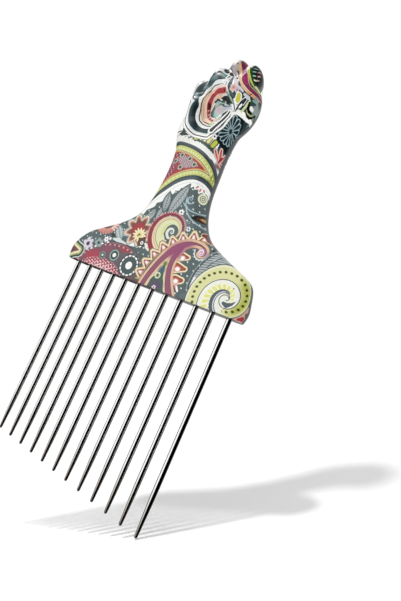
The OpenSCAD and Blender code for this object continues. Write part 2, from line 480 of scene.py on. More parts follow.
heights = np.arange(0.0, 87.0)
depths = [np.ptp(spots[np.abs(spots[:, 2] - height) < 1.2, 1]) / 2 for height in heights[:-1]]
depths.append(depths[-1])
bend = np.interp(spots[:, 2], heights, depths)
bend = np.where(spots[:, 2] > FIST_TO, np.maximum(bend, LEAST_BEND), bend)
on_fist = smooth_step(FIST_FROM, FIST_TO, spots[:, 2])[:, None]
slack = facing * (1 - on_fist) + slack * on_fist
slack /= np.linalg.norm(slack, axis=1)[:, None]
crown = smooth_step(CROWN_FROM, CROWN_TO, spots[:, 2])
turned = np.arctan2(slack[:, 0], np.hypot(slack[:, 1], crown * slack[:, 2]))
raised = np.arcsin(np.clip(slack[:, 2], 0.0, 1.0))
film_across = spots[:, 0] + bend * (turned - np.sin(turned))
film_across = np.where(spots[:, 1] < 0, film_across, -film_across)
film_up = spots[:, 2] + crown * LEAST_BEND * (raised - np.sin(raised))
film_place = handle_data.attributes.new("film_place", "FLOAT_VECTOR", "POINT")
film_place.data.foreach_set("vector", np.stack([film_across, film_up, spots[:, 1]], 1).ravel())
print("film from", round(film_across.min(), 1), "to", round(film_across.max(), 1), "mm across")

# %% [markdown]
# Paisley is drawn with a compass: nearly every line in it is an arc, a spiral
# or a row of equal petals round a centre. That is what math nodes are good at.
# A node tree of this size can't be laid by hand, so a number that varies over
# the film becomes a Python object here, and adding or comparing two of them
# adds the node that does it. The print is then written as plain formulas. The
# press remembers which node tree is being filled and the colour printed so far.

# %% A number that varies over the film
film = new_material("paisley_film")
press = {"tree": film.node_tree, "ink": None}


class Field:
    """One value at every point of the film."""

    def __init__(self, socket):
        self.socket = socket

    def __add__(self, other):
        return work("ADD", self, other)

    def __sub__(self, other):
        return work("SUBTRACT", self, other)

    def __rsub__(self, other):
        return work("SUBTRACT", other, self)

    def __mul__(self, other):
        return work("MULTIPLY", self, other)

    def __truediv__(self, other):
        return work("DIVIDE", self, other)

    __radd__, __rmul__ = __add__, __mul__


print("material of the film:", film.name)

# %% [markdown]
# One helper adds a math node and wires it: plain numbers go into its sockets,
# and fields are linked. The others only give its operations short names. The
# larger of two distances keeps what lies in both shapes and the smaller of them
# joins the shapes, so a cut or a union costs a single node.

# %% Math on such numbers
def feed(socket, value):
    if isinstance(value, Field):
        press["tree"].links.new(value.socket, socket)
    else:
        socket.default_value = value


def work(operation, *values):
    node = add(press["tree"], "ShaderNodeMath", operation=operation)
    for socket, value in zip(node.inputs, values):
        feed(socket, value)
    return Field(node.outputs[0])


def larger(first, *others):
    for other in others:
        first = work("MAXIMUM", first, other)
    return first


def smaller(a, b):
    return work("MINIMUM", a, b)


def size_of(a):
    return work("ABSOLUTE", a)


def wave(a):
    return work("SINE", a)


def part_of(a):
    return work("FRACT", a)


def log_of(a):
    return work("LOGARITHM", larger(a, 1e-6), math.e)


def exp_of(a):
    return work("EXPONENT", a)


def hypot(a, b):
    return work("SQRT", work("MULTIPLY_ADD", a, a, b * b))


print("operations: larger, smaller, size_of, wave, part_of, log_of, exp_of, hypot")

# %% [markdown]
# Every motif has a middle, and most are turned or drawn out one way. A place
# moves the two film coordinates there, turns them and divides them by the
# stretch. It gives the distance from the middle and how far round a point lies,
# as a share of a whole turn, because rows of petals are counted in shares.

# %% A spot on the film, with its own compass
class Place:
    """A spot u, v on the film, in mm, turned by tilt degrees and stretched."""

    def __init__(self, u, v, tilt=0, stretch=(1, 1)):
        du, dv = press["across"] - u, press["up"] - v
        c, s = math.cos(math.radians(tilt)), math.sin(math.radians(tilt))
        if tilt:
            du, dv = work("MULTIPLY_ADD", dv, s, du * c), work("MULTIPLY_ADD", du, -s, dv * c)
        self.x = du if stretch[0] == 1 else du / stretch[0]
        self.y = dv if stretch[1] == 1 else dv / stretch[1]
        self.radius = None

    @property
    def r(self):
        if self.radius is None:
            self.radius = hypot(self.x, self.y)
        return self.radius

    def turn(self, zero=0):
        """How far round, from 0 to 1, counted from zero degrees."""
        whole = work("ARCTAN2", self.y, self.x)
        return part_of(work("MULTIPLY_ADD", whole, 1 / TURN, 1 - zero / 360))


print("a place gives x, y, r and turn")

# %% [markdown]
# Ink goes on in two ways. A motif with clean edges is laid: a color ramp with
# constant steps turns one distance into a few bands, and beyond the last band
# it is clear. A soft change, such as a deeper red in the middle of a petal, is
# a wash that fades over some tenths of a millimetre. The math node before a
# ramp is added first, because nodes are worked through in the order they came.

# %% Ink in bands and washes
def rgba(text):
    """The linear colour of a web colour such as #a93c42."""
    parts = [int(text[at:at + 2], 16) / 255 for at in (1, 3, 5)]
    return [p / 12.92 if p <= 0.04045 else ((p + 0.055) / 1.055) ** 2.4 for p in parts] + [1]


def lay(field, *bands):
    """Prints bands over what is there: the first colour below its limit, and so on."""
    lowest, highest = bands[0][0] - 1.0, bands[-1][0]
    span = highest - lowest
    share = work("MULTIPLY_ADD", field, 1 / span, -lowest / span)
    node = add(press["tree"], "ShaderNodeValToRGB")
    feed(node.inputs["Fac"], share)
    node.color_ramp.interpolation = "CONSTANT"
    stops = node.color_ramp.elements
    stops.remove(stops[1])
    starts = [lowest] + [limit for limit, _ in bands]
    colours = [colour for _, colour in bands] + [None]
    for step, (start, colour) in enumerate(zip(starts, colours)):
        at = (start - lowest) / span
        stop = stops[0] if step == 0 else stops.new(at)
        stop.position = at
        stop.color = rgba(colour) if colour else (0, 0, 0, 0)
    over = add(press["tree"], "ShaderNodeMix", data_type="RGBA")
    press["tree"].links.new(node.outputs["Alpha"], over.inputs["Factor"])
    press["tree"].links.new(press["ink"], over.inputs["A"])
    press["tree"].links.new(node.outputs["Color"], over.inputs["B"])
    press["ink"] = over.outputs["Result"]


def wash(field, colour, soft):
    """Prints a colour that is full where the field is below zero and gone at soft."""
    fade = add(press["tree"], "ShaderNodeMapRange")
    feed(fade.inputs["Value"], field)
    fade.inputs["From Max"].default_value = soft
    fade.inputs["To Min"].default_value, fade.inputs["To Max"].default_value = 1, 0
    over = add(press["tree"], "ShaderNodeMix", data_type="RGBA")
    press["tree"].links.new(fade.outputs[0], over.inputs["Factor"])
    press["tree"].links.new(press["ink"], over.inputs["A"])
    over.inputs["B"].default_value = rgba(colour)
    press["ink"] = over.outputs["Result"]


print("the ground slate in linear light:", [round(part, 3) for part in rgba("#5a6a6b")])

# %% [markdown]
# What is used again and again, or should stay apart from the rest, is made a
# node group. A group has its own tree and sockets, so this helper makes both
# and turns the press to the new tree. Groups that print also take the colour
# under them.

# %% Open a node group
def new_group(name, inputs, output, kind):
    """A node group with float inputs and one output: its tree, inputs and end."""
    tree = bpy.data.node_groups.new(name, "ShaderNodeTree")
    for word in inputs:
        tree.interface.new_socket(word, in_out="INPUT", socket_type="NodeSocketFloat")
    if kind == "Color":
        tree.interface.new_socket("Under", in_out="INPUT", socket_type="NodeSocketColor")
    tree.interface.new_socket(output, in_out="OUTPUT", socket_type="NodeSocket" + kind)
    start, stop = add(tree, "NodeGroupInput"), add(tree, "NodeGroupOutput")
    fields = [Field(start.outputs[word]) for word in inputs]
    press.update(tree=tree, ink=start.outputs["Under"] if kind == "Color" else None)
    return tree, fields, stop.inputs[output]


print("node groups so far:", len(bpy.data.node_groups))

# %% [markdown]
# A brush stroke goes through a few spots and has its own half width at each.
# It is built from straight pieces, and one piece is a node group made once:
# how far a point lies outside the rim of this piece, or of the nearest piece
# before it. Leaves, commas, ribbons and lobes are all strokes. A long stroke is
# bent: more spots are set between the given ones, on a smooth line.

# %% The straight piece of a stroke
PIECE = ("Across", "Up", "U", "V", "Cosine", "Sine", "Length", "Growth", "Half", "Before")
piece_tree, (ac, at_up, u0, v0, cosine, sine, length, growth, half, before), piece_end = new_group(
    "stroke_piece", PIECE, "Rim", "Float"
)
du, dv = ac - u0, at_up - v0
forth = work("MULTIPLY_ADD", dv, sine, du * cosine)
beside = work("SUBTRACT", dv * cosine, du * sine)
along = smaller(larger(forth, 0), length)
rim = hypot(forth - along, beside) - along * growth - half
piece_tree.links.new(smaller(before, rim).socket, piece_end)


def stroke(*spots):
    """Distance in mm from the rim of a stroke through spots (u, v, half width)."""
    rim = 1e3
    for (u1, v1, w1), (u2, v2, w2) in zip(spots, spots[1:]):
        long = math.hypot(u2 - u1, v2 - v1)
        node = add(press["tree"], "ShaderNodeGroup", node_tree=piece_tree)
        values = (
            press["across"], press["up"], u1, v1, (u2 - u1) / long, (v2 - v1) / long,
            long, (w2 - w1) / long, w1, rim,
        )
        for word, value in zip(PIECE, values):
            feed(node.inputs[word], value)
        rim = Field(node.outputs["Rim"])
    return rim


def bent(*spots):
    """The spots with two more between each pair, on a smooth line through them all."""
    ends = [spots[0], *spots, spots[-1]]
    line = []
    for p0, p1, p2, p3 in zip(ends, ends[1:], ends[2:], ends[3:]):
        for t in (0.0, 1 / 3, 2 / 3):
            weights = (
                (-t + 2 * t * t - t ** 3) / 2, (2 - 5 * t * t + 3 * t ** 3) / 2,
                (t + 4 * t * t - 3 * t ** 3) / 2, (t ** 3 - t * t) / 2,
            )
            line.append([sum(w * p[k] for w, p in zip(weights, (p0, p1, p2, p3))) for k in range(3)])
    return [*line, spots[-1]]


print("nodes in a straight piece:", len(piece_tree.nodes))
print("3 spots bent are", len(bent((0, 0, 1), (1, 2, 1), (3, 3, 1))), "spots")

# %% [markdown]
# The press prints one motif after another. Each motif is a node group of its
# own that takes the place on the film and the colour under it, and gives the
# colour with its own ink over it. Cycles merges equal nodes of the whole tree
# and keeps every result until its last use, and it has room for 255 of them. A
# billionth of the colour under a motif is therefore added to the motif's place:
# too little to move anything, but its nodes are then its own and wait their turn.

# %% One plate of the press
HAIR = 1e-9
where = add(film.node_tree, "ShaderNodeAttribute", attribute_name="film_place")
split = add(film.node_tree, "ShaderNodeSeparateXYZ")
film.node_tree.links.new(where.outputs["Vector"], split.inputs[0])
ground = add(film.node_tree, "ShaderNodeRGB")
ground.outputs[0].default_value = rgba("#5a6a6b")
film_ink = [ground.outputs[0]]


def printed(draw):
    """Makes a node group of what draw prints, and prints it over the last one."""
    plate, (across, up), over = new_group(draw.__name__, ("Across", "Up"), "Over", "Color")
    hair = work("MULTIPLY", Field(press["ink"]), HAIR)
    press.update(across=across + hair, up=up + hair)
    draw(press["across"], press["up"])
    plate.links.new(press["ink"], over)
    node = add(film.node_tree, "ShaderNodeGroup", node_tree=plate)
    film.node_tree.links.new(split.outputs["X"], node.inputs["Across"])
    film.node_tree.links.new(split.outputs["Y"], node.inputs["Up"])
    film.node_tree.links.new(film_ink[0], node.inputs["Under"])
    film_ink[0] = node.outputs["Over"]
    print(draw.__name__, "takes", len(plate.nodes), "nodes")
    return draw


print("film nodes before the first plate:", len(film.node_tree.nodes))

# %% [markdown]
# The inks come first. All are a little grey, as old textile inks are: slate and
# two teals for the grounds, magenta, brick and coral, and pale tones between.
# The inks of whole motifs get names here. The shades that only one motif has
# stand where they are printed, as web colours.

# %% Mix the inks
SLATE, INK, TEAL, DEEP = "#55676a", "#1f2628", "#1d444b", "#102428"
MIST, WHITE, CREAM, GREY = "#dbe5e2", "#fafaf7", "#efe6bd", "#95a0a2"
LEAF, PALE, MAGENTA, MAUVE, RED = "#54684c", "#e4e7c8", "#8f1f58", "#a98490", "#a83c44"
BRICK, CORAL, PEACH, ORANGE = "#a8513a", "#d2705f", "#e6c2a2", "#dba066"
PINK, LILAC, SKY, GOLD = "#e3adae", "#ded6e2", "#b4cad1", "#c9a36b"
BROWN, YELLOW, DARK_LEAF = "#6a4636", "#d3d04a", "#1f3d22"
print("the darkest ink in linear light:", [round(part, 3) for part in rgba(INK)])

# %% [markdown]
# Next come the stock motifs of any paisley. A brush stroke is one ink inside
# the rim of a stroke, and a row sets spots round a circle. The petals of a daisy
# are a sine of the angle round its middle, rings are bands by distance, and a
# leaf is where two circles overlap, with barbs that lean away from its rib.

# %% The stock motifs
def brush(colour, *spots):
    lay(stroke(*spots), (0, colour))


def row(place, turn, number, radius):
    """(along, out) in mm from the nearest of a number of spots round a circle."""
    along = (part_of(turn * number) - 0.5) * place.r * (TURN / number)
    return along, place.r - radius


def daisy(u, v, size, petals, colour, eye, edge=None, tilt=0):
    place = Place(u, v, tilt)
    dip = size_of(wave(place.turn() * (TURN / 2 * petals)))
    petal = place.r - size * 0.62 - dip * (size * 0.38)
    if edge:
        lay(petal, (0, colour), (0.28, edge))
    else:
        lay(petal, (0, colour))
    lay(place.r, (0.3 * size, eye))


def rings(u, v, *bands):
    lay(Place(u, v).r, *bands)


def oval(u, v, tilt, long, wide, *bands):
    """Bands by distance in mm from the rim of an oval."""
    lay(Place(u, v, tilt, (long / wide, 1)).r - wide, *bands)


def leaf(u, v, tilt, length, half, fill, rib, edge, rows=0.9):
    place = Place(u, v, tilt)
    side = size_of(place.y)
    reach = length / 2
    bow = (reach * reach + half * half) / (2 * half)
    rim = hypot(place.x, side + (bow - half)) - bow
    lay(rim, (0, fill), (0.25, edge))
    barb = size_of(part_of((place.x + side * 1.3) / rows) - 0.5) * rows - 0.26 * rows
    lay(larger(barb, rim + 0.4, 0.2 - side), (0, rib))


def capsule(u, v, tilt, length):
    """Distance in mm from a straight line that starts at u, v."""
    place = Place(u, v, tilt)
    return hypot(larger(place.x - length, 0) + smaller(place.x, 0), place.y)


print("stock motifs: brush, row, daisy, rings, oval, leaf, capsule")

# %% [markdown]
# The film's ground is slate, with deep teal on the wrist and the fist. It is
# seldom plain: fine grey dots lie on the right of the lower neck, and pale ones
# with more room between them on the plate. Such dots are a fraction of each
# coordinate, which makes a grid of equal cells, and the distance from the
# middle of the cell.

# %% Print the grounds
@printed
def grounds(across, up):
    lay(50.6 - up, (0, TEAL))
    speck = hypot(part_of(across / 0.55) - 0.5, part_of(up / 0.55) - 0.5)
    lay(larger(speck - 0.22, 22.5 - up, up - 37, 5.5 - across), (0, GREY))
    speck = hypot(part_of(across / 2.3 + up * 0.21) - 0.5, part_of(up / 2.1) - 0.5)
    lay(larger(speck - 0.13, up - 38), (0, MIST))

# %% [markdown]
# The neck carries one great almond that lies on its side with its point to the
# right. An almond is where two circles overlap, here a flat arc above and a
# long round-ended shape below, and the lime and slate borders are the same
# shape grown by a few steps. Rows of scallops follow both borders: a scallop
# is a circle whose radius rises and falls with a sine of the angle.

# %% Print the neck's almond
@printed
def neck_almond(across, up):
    low, high = capsule(5.5, 26, -133.8, 22), Place(-8.5, 22.5)
    off = larger(21.5 - up, smaller(34.0 - up, across - 8))
    scallop = size_of(wave(Place(5.5, 26).turn() * (TURN / 2 * 27))) * 0.75
    lay(larger(off, low - 12.2, 9.7 - scallop - low), (0, WHITE), (0.22, LEAF))
    lay(larger(off, low - 11.1, 10.85 - low), (0, MIST))
    scallop = size_of(wave(high.turn() * (TURN / 2 * 60))) * 0.8
    lay(larger(28.0 - high.r, high.r - 29.9 - scallop, 43 - up), (0, WHITE), (0.3, LEAF))
    rim = larger(high.r - 24.5, 16 - low, off * 9)
    lay(
        rim, (-0.3, RED), (-0.1, BRICK), (0.3, ORANGE), (0.48, CREAM), (0.66, INK),
        (1.2, "#dde19c"), (2.3, "#ccd27c"), (3.0, "#3f4f54"), (3.8, "#53636a"), (3.95, INK),
    )
    lay(larger(0.6 - rim, rim - 2.3, 8.6 - across + (up - 41) * 0.35), (0, "#a9ae4e"))
    bead = hypot((part_of(across / 1.15) - 0.5) * 1.15, rim - 1.5)
    lay(bead - 0.25, (0, "#eef0cc"))

# %% [markdown]
# Its red field is filled in three ways: a net of pink dots turned by 45 degrees
# along the left edge, a mauve cloud with much finer dots in the middle, and a
# few green rings. Each stays inside the field because the field's own distance
# is one of those that the larger is taken of.

# %% Fill the almond
@printed
def neck_field(across, up):
    low, high = capsule(5.5, 26, -133.8, 22), Place(-8.5, 22.5)
    inner = larger(high.r - 24.0, 16.5 - low, 24 - up)
    lay(larger(inner, across + 5.2), (0, "#8c3f56"))
    cloud = Place(-1.2, 43.4, -16, (2.3, 1)).r - 2.1
    lay(larger(inner, cloud), (-0.4, MAUVE), (0, "#a5636b"))
    net = Place(-8, 42, 45)
    dot = hypot(part_of(net.x / 1.25) - 0.5, part_of(net.y / 1.25) - 0.5)
    lay(larger(inner, across + 5.5, dot - 0.27), (0, PINK))
    dot = hypot(part_of(net.x / 0.62) - 0.5, part_of(net.y / 0.62) - 0.5)
    lay(larger(inner + 0.2, cloud, dot - 0.24), (0, MIST))
    for u, v in ((-4.7, 45.8), (1.6, 43.1), (-3.4, 41.4), (-1.0, 44.9), (-6.6, 43.4)):
        rings(u, v, (0.3, "#6b4450"), (0.62, LEAF), (0.95, "#c9ccbe"), (1.12, "#8c5560"))

# %% [markdown]
# Two thin blue stems cross the slate under the almond, each an arc of a circle,
# and one ends in a curl. A brown wedge, a ring flower, three coral buds and
# small daisies stand between them.

# %% Print the thin scrolls
@printed
def neck_scrolls(across, up):
    outer, inner = Place(13.5, 33), Place(9, 34.5)
    wedge = Place(14.2, 26.7, 12, (4.4, 1)).r - 1.25
    lay(wedge, (-0.7, GOLD), (-0.35, BROWN), (0, INK))
    lay(larger(size_of(outer.r - 9.25) - 0.2, up - 32), (0, SKY))
    lay(larger(size_of(inner.r - 7.05) - 0.18, up - 30.2), (0, SKY))
    curl = Place(6.1, 31.3)
    arm = size_of(part_of(log_of(curl.r) * 0.62 - curl.turn()) - 0.5)
    lay(larger(arm - 0.15, curl.r - 1.7), (0, SKY))
    rings(9.7, 33.0, (0.3, WHITE), (0.55, LEAF), (0.95, PALE), (1.15, SLATE), (1.9, PALE), (2.15, SLATE))
    for u, v, tilt in ((6.2, 35.9, 60), (7.5, 35.3, 90), (8.8, 35.6, 120)):
        oval(u, v, tilt, 1.3, 0.55, (-0.28, CORAL), (0, WHITE))
    daisy(4.6, 26.3, 1.15, 6, WHITE, SLATE)
    daisy(9.6, 21.6, 0.95, 6, MIST, SLATE)
    daisy(8.8, 23.7, 0.6, 5, GREY, SLATE)

# %% [markdown]
# The left shoulder is a garden: a red almond that the straight base cuts in
# two, ring flowers on it, a lotus, a fern along the upper edge and small
# daisies. Feathered leaves fill the ground between them. A feather is a
# pointed oval with stripes that lean away from its middle line.

# %% Print the feathers and the red almond
@printed
def feathers(across, up):
    leaf(-3.0, 24.6, 72, 7.5, 1.7, "#7f8a8c", "#ccd2d2", TEAL)
    leaf(-6.8, 23.0, 66, 5.6, 1.4, "#7f8a8c", "#ccd2d2", TEAL)
    leaf(1.6, 30.2, 72, 12.5, 2.1, "#7f8a8c", "#ccd2d2", TEAL)
    leaf(-2.6, 28.5, 96, 7.5, 1.5, "#7f8a8c", "#ccd2d2", TEAL)
    leaf(-17.2, 14.2, 128, 7.0, 1.7, GREY, MIST, SLATE)
    brush(MIST, (-18.6, 11.4, 0.3), (-16.2, 11.5, 0.85), (-13.2, 10.9, 0.4))
    brush(WHITE, (-12.6, 11.1, 0.4), (-9.8, 11.6, 0.75), (-6.0, 11.7, 0.4))
    brush(MIST, (-5.2, 14.6, 0.3), (-4.9, 16.6, 0.45), (-4.7, 18.0, 0.25))
    brush(DARK_LEAF, (-19.8, 12.9, 0.5), (-19.0, 12.5, 0.6))


@printed
def red_almond(across, up):
    shape = Place(-14, -3, 0, (18, 13.5))
    rim = (shape.r - 1) * 13.5
    lay(rim, (-0.4, "#7b4f5d"), (0.0, "#9b7783"), (0.3, INK))
    wash(larger(Place(-6.5, 5.5, 0, (1.3, 1)).r - 3.5, rim + 0.6), "#5a6868", 2.0)
    wash(larger(Place(-13, 4.0, 0, (1.6, 1)).r - 1.8, rim + 0.6), "#665c64", 1.5)
    wash(larger(Place(-24, 3.2, 15, (1.6, 1)).r - 1.5, rim + 0.8), "#b23c4e", 1.8)
    wash(larger(Place(-11.5, 9.0, -4, (2.6, 1)).r - 0.5, rim + 0.3), "#a93f49", 0.9)
    wash(larger(Place(-19, 7.3, 20, (2.2, 1)).r - 0.8, rim + 0.3), "#8f5165", 0.9)
    speck = hypot(part_of(across / 0.62 + up * 0.4) - 0.5, part_of(up / 0.58) - 0.5) - 0.2
    lay(larger(speck, rim + 0.6, across + 3.0), (0, "#8c6f78"))
    along, out = row(shape, shape.turn(2), 50, 0.93)
    lay(hypot(along * 15.5, out * 13.5), (0.33, PINK))
    spray = Place(-18.5, -6.0, 0, (1.25, 1)).r - 8.6
    wash(larger(spray, rim + 0.4), "#a83a4c", 1.6)
    for tilt, size in ((28, 1.2), (67, 1.0)):
        net = Place(0, 0, tilt)
        fleck = hypot(part_of(net.x / size) - 0.5, part_of(net.y / size) - 0.5)
        lay(larger(fleck - 0.25 + spray * 0.05, spray - 1.4, rim + 0.5), (0, "#f2d3d5"))

# %% [markdown]
# The flowers of the shoulder come next. Rings lie on the red almond, and the
# largest has a wheel of white dashes round it. The fern at the upper edge is a
# row of loops round a stretched circle, cut off by its angle. A leaf tip with
# rims of cream and green closes the left corner.

# %% Print the ring flowers and the fern
@printed
def ring_flowers(across, up):
    rings(-20, 4.7, (0.45, MIST), (0.95, "#33605b"), (1.4, "#7f918b"))
    rings(-14.9, 6.0, (0.78, WHITE), (1.62, "#33564f"), (2.0, "#a8bab5"), (2.25, SLATE))
    wheel = Place(-7.05, 4.3)
    lay(wheel.r, (1.35, WHITE), (3.0, "#47595b"), (3.9, "#55676a"), (4.1, INK))
    along, out = row(wheel, wheel.turn(-3), 14.3, 3.45)
    lay(hypot(larger(size_of(along) - 0.28, 0), out), (0.28, WHITE))
    daisy(-28.9, 6.9, 2.65, 6, LILAC, "#3b3a4c", SLATE, tilt=18)
    daisy(-24.2, 8.4, 2.0, 5, "#9db0ae", "#34444a", SLATE)
    daisy(-21.5, 10.5, 1.15, 6, WHITE, GREY, SLATE)
    rings(-19.9, 11.1, (0.3, WHITE), (0.6, LILAC), (0.8, SLATE))
    for u, v, tilt in ((-24.9, 6.9, 60), (-22.4, 8.5, 20), (-20.2, 9.6, 25), (-26.3, 5.7, 35)):
        oval(u, v, tilt, 0.55, 0.32, (0, WHITE), (0.15, SLATE))


@printed
def fern_and_corner(across, up):
    fern = Place(-23.9, 16.4, 18, (1.0, 0.8))
    turn = fern.turn()
    along, out = row(fern, turn, 25, 4.1)
    lay(larger(fern.r - 5.5, 0.46 - turn, turn - 0.99), (0, "#7d4f48"))
    loop = hypot(along, larger(size_of(out) - 0.9, 0))
    lay(larger(loop - 0.42, 0.46 - turn, turn - 0.99), (-0.15, "#cf6f5e"), (0, "#f0cfc6"))
    core = stroke((-37.5, 3.1, 2.4), (-31.9, 3.4, 0.2))
    lay(
        core, (-0.9, "#6b4450"), (0, "#7f5158"), (0.85, CREAM), (1.5, "#a9b684"), (2.3, "#37492f"),
        (2.7, MIST),
    )

# %% [markdown]
# The lotus has eight petals. The rim of a round petal is a sine of the angle
# and that of a pointed one a zigzag; the sum of the two is a petal with a small
# tip. Ragged red and pale yellow rings fill it, with a brown block at its foot.

# %% Print the lotus
@printed
def lotus(across, up):
    flower = Place(-9.6, 16.9)
    point = 1 - size_of(part_of(flower.turn(1) * 8) - 0.5) * 2
    bow = size_of(wave(flower.turn(1) * (TURN / 2 * 8)))
    petal = flower.r - 4.1 - point * 0.8 - bow * 1.5
    lay(
        petal, (-1.9, "#86584a"), (-1.2, "#c0907c"), (-0.62, "#ead2be"), (-0.38, "#f2efe4"),
        (-0.12, DARK_LEAF),
        (0.12, MIST), (0.3, "#49604c"),
    )
    rag = size_of(part_of(flower.turn() * 19) - 0.5) * 0.9
    lay(flower.r - 2.8 - rag, (0, "#5c4a42"))
    lay(flower.r - 2.5 - rag, (0, "#ac3f48"))
    heart = Place(-8.4, 15.4, 0, (1.15, 1))
    tip = size_of(part_of(heart.turn(4) * 12) - 0.5) * 2
    lay(heart.r - 1.5 - tip * 1.1, (-0.9, "#ecdf9c"), (0, "#f3efcf"), (0.25, "#d08a5a"))
    brush(BROWN, (-9.0, 14.9, 0.2), (-8.5, 15.6, 0.28), (-7.9, 15.4, 0.12))
    block = Place(-6.3, 13.3, 14)
    lay(larger(size_of(block.x), size_of(block.y)) - 1.5, (-0.3, "#6e4a2c"), (0, "#4e3a26"))
    rings(-6.0, 13.0, (0.28, "#4e4653"), (0.62, WHITE), (0.95, "#5a4f63"))
    lay(stroke((-4.5, 13.1, 0.35), (-3.3, 12.4, 0.95), (-2.2, 11.2, 0.3)), (0, "#eceee2"), (0.2, SLATE))

# %% [markdown]
# A scroll is a spiral whose radius grows by the same share on every turn. The
# logarithm of the radius less the share of a turn is then constant along each
# arm, and its fraction says how far across the arm a point lies. One line of
# nodes thus makes all the coils, however small they get.

# %% Print the toothed scroll
@printed
def toothed_scroll(across, up):
    place = Place(3.48, 19.57, 0, (1.08, 1))
    turn = place.turn(-68)
    arm = log_of(place.r) / 1.164 - turn - 1.002
    off, cut = arm * 7.4, (turn - 0.955) * 40
    along, out = row(place, turn, 50, 1)
    wide = 0.2 + turn * 0.48
    tick = size_of(arm * place.r * 1.1 - wide - 0.3) - 0.35
    lay(larger(tick, size_of(along) - 0.2, cut), (0, PINK))
    lay(
        larger(off - wide, cut), (-5.2, "#dfe2a8"), (-3.6, PALE), (-2.75, "#e4e3b0"),
        (-2.5, "#96926a"), (-2.2, CREAM), (-1.75, PEACH), (-1.3, "#f3d6c8"),
    )
    lay(larger(size_of(off) - wide, cut), (0, "#9c3340"))
    eye = Place(3.8, 19.2)
    coil = size_of(part_of(log_of(eye.r) * 0.62 - eye.turn(-95)) - 0.5)
    lay(larger(eye.r - 2.6, coil * -1 + 0.22), (0, "#5d6f73"))
    lay(larger(eye.r - 2.4, coil - 0.17), (0, "#e8ecee"))
    brush("#4c5c60", (4.3, 16.0, 0.12), (2.4, 16.7, 0.3), (1.3, 18.2, 0.3), (1.4, 19.6, 0.12))

# %% [markdown]
# The arch is a bent comma with a second leg. Along its back stands a row of
# flames: triangles set round a circle, each with a cream border, a brick tip
# and a pale petal at its foot. The flames along the leg are too uneven for a
# row, so each is a short stroke that narrows to its tip.

# %% Print the flames
@printed
def arch_flames(across, up):
    arch = Place(17, 1.5)
    turn = arch.turn(86.4)
    along, out = row(arch, turn, 31, 17.6)
    tip = larger(out + size_of(along) * 1.75 - 4.3, (out - 3.35) * 1.5)
    ends = larger(turn * -60, (turn - 0.262) * 60)
    lay(larger(tip, -0.2 - out, ends), (-1.35, PEACH), (-0.3, "#f3e0bf"), (0.1, "#b9b08a"), (0.35, LEAF))
    lay(larger(tip + 1.45, ends, out * -1), (-0.5, "#a5492f"), (0, "#7c3a2b"))
    lay(larger(size_of(along) - 0.9 + out * 0.25, out - 1.9, 0.1 - out, ends), (-0.35, WHITE), (0, PINK))


@printed
def leg_flames(across, up):
    for spots, petal in (
        (((11.2, 12.7, 1.5), (13.6, 12.9, 0.75)), (11.7, 12.2)),
        (((10.9, 8.9, 1.9), (14.2, 9.1, 0.8)), (11.6, 8.4)),
        (((12.2, 5.0, 1.7), (14.7, 5.4, 1.0)), (12.8, 4.6)),
    ):
        rim = stroke(*spots)
        lay(rim, (-0.7, "#b25a3e"), (-0.4, "#7f3d2c"), (0.15, "#f3e0bf"), (0.35, LEAF))
        lay(Place(*petal, 0, (1.2, 1)).r - 0.95, (-0.3, WHITE), (0, PINK))
    brush(PINK, (13.5, 3.5, 0.5), (14.8, 2.0, 0.4))
    brush(WHITE, (14.0, 3.1, 0.28), (14.9, 1.8, 0.25))
    brush("#647579", (16.9, 1.0, 0.9), (19.4, 1.5, 1.3), (20.0, 0.4, 1.0))

# %% [markdown]
# The comma and its leg are two bent strokes, joined by taking the smaller
# distance, so that their peach border runs round both. A green field fills the
# opening between them, and the comma ends in a curl round a small eye.

# %% Print the arch and its curl
@printed
def arch(across, up):
    leg = (
        (13.0, -0.8, 1.05), (11.1, 2.0, 0.98), (9.7, 4.6, 0.9), (8.8, 7.2, 0.86), (8.45, 9.8, 0.84),
        (8.8, 12.4, 0.84), (10.2, 15.6, 0.5),
    )
    sweep = (
        (1.1, -0.6, 0.8), (1.85, 3.0, 0.84), (2.85, 6.2, 0.88), (4.2, 9.5, 0.92), (5.9, 12.5, 1.0),
        (7.7, 14.5, 1.15), (9.7, 16.1, 0.95), (12.0, 17.3, 0.62), (14.4, 17.8, 0.34), (16.6, 17.6, 0.22),
        (18.2, 16.9, 0.2), (18.85, 15.9, 0.18), (18.6, 15.0, 0.17), (17.7, 14.55, 0.15), (16.7, 14.9, 0.1),
    )
    both = smaller(stroke(*bent(*leg)), stroke(*bent(*sweep)))
    lay(both, (0.85, "#e6c3a4"), (1.0, "#c9a184"))
    field = stroke((6.7, -1.5, 4.0), (6.2, 2.0, 2.7), (6.2, 4.6, 1.55), (6.4, 7.0, 0.75), (6.45, 9.6, 0.1))
    lay(field, (-0.2, "#4e6a56"), (0, LEAF), (0.4, "#dfe0c0"))
    wash(larger(Place(6.2, 6.6).r - 0.6, field + 0.2), "#4f6878", 1.2)
    wash(larger(Place(6.5, 1.6, 0, (1.6, 1)).r - 0.8, field + 0.2), "#5f566c", 1.4)
    wash(larger(Place(6.45, 8.9).r - 0.3, field), "#6f7a2c", 0.9)
    rings(5.6, 4.5, (0.35, "#4d5a3a"), (0.7, "#93a07c"), (1.1, "#dfe0c4"))
    daisy(6.1, 0.45, 0.85, 5, "#f3d9e6", "#6a4560")
    speck = hypot(part_of(across / 0.5) - 0.5, part_of(up / 0.5) - 0.5) - 0.22
    lay(both, (-0.12, "#975a74"), (0.08, "#744658"))
    wash(larger(Place(9.5, 14.4, 30, (1.8, 1)).r - 1.6, both + 0.15), "#9c4f78", 1.8)
    lay(larger(both + 0.3, speck), (0, "#9c6078"))


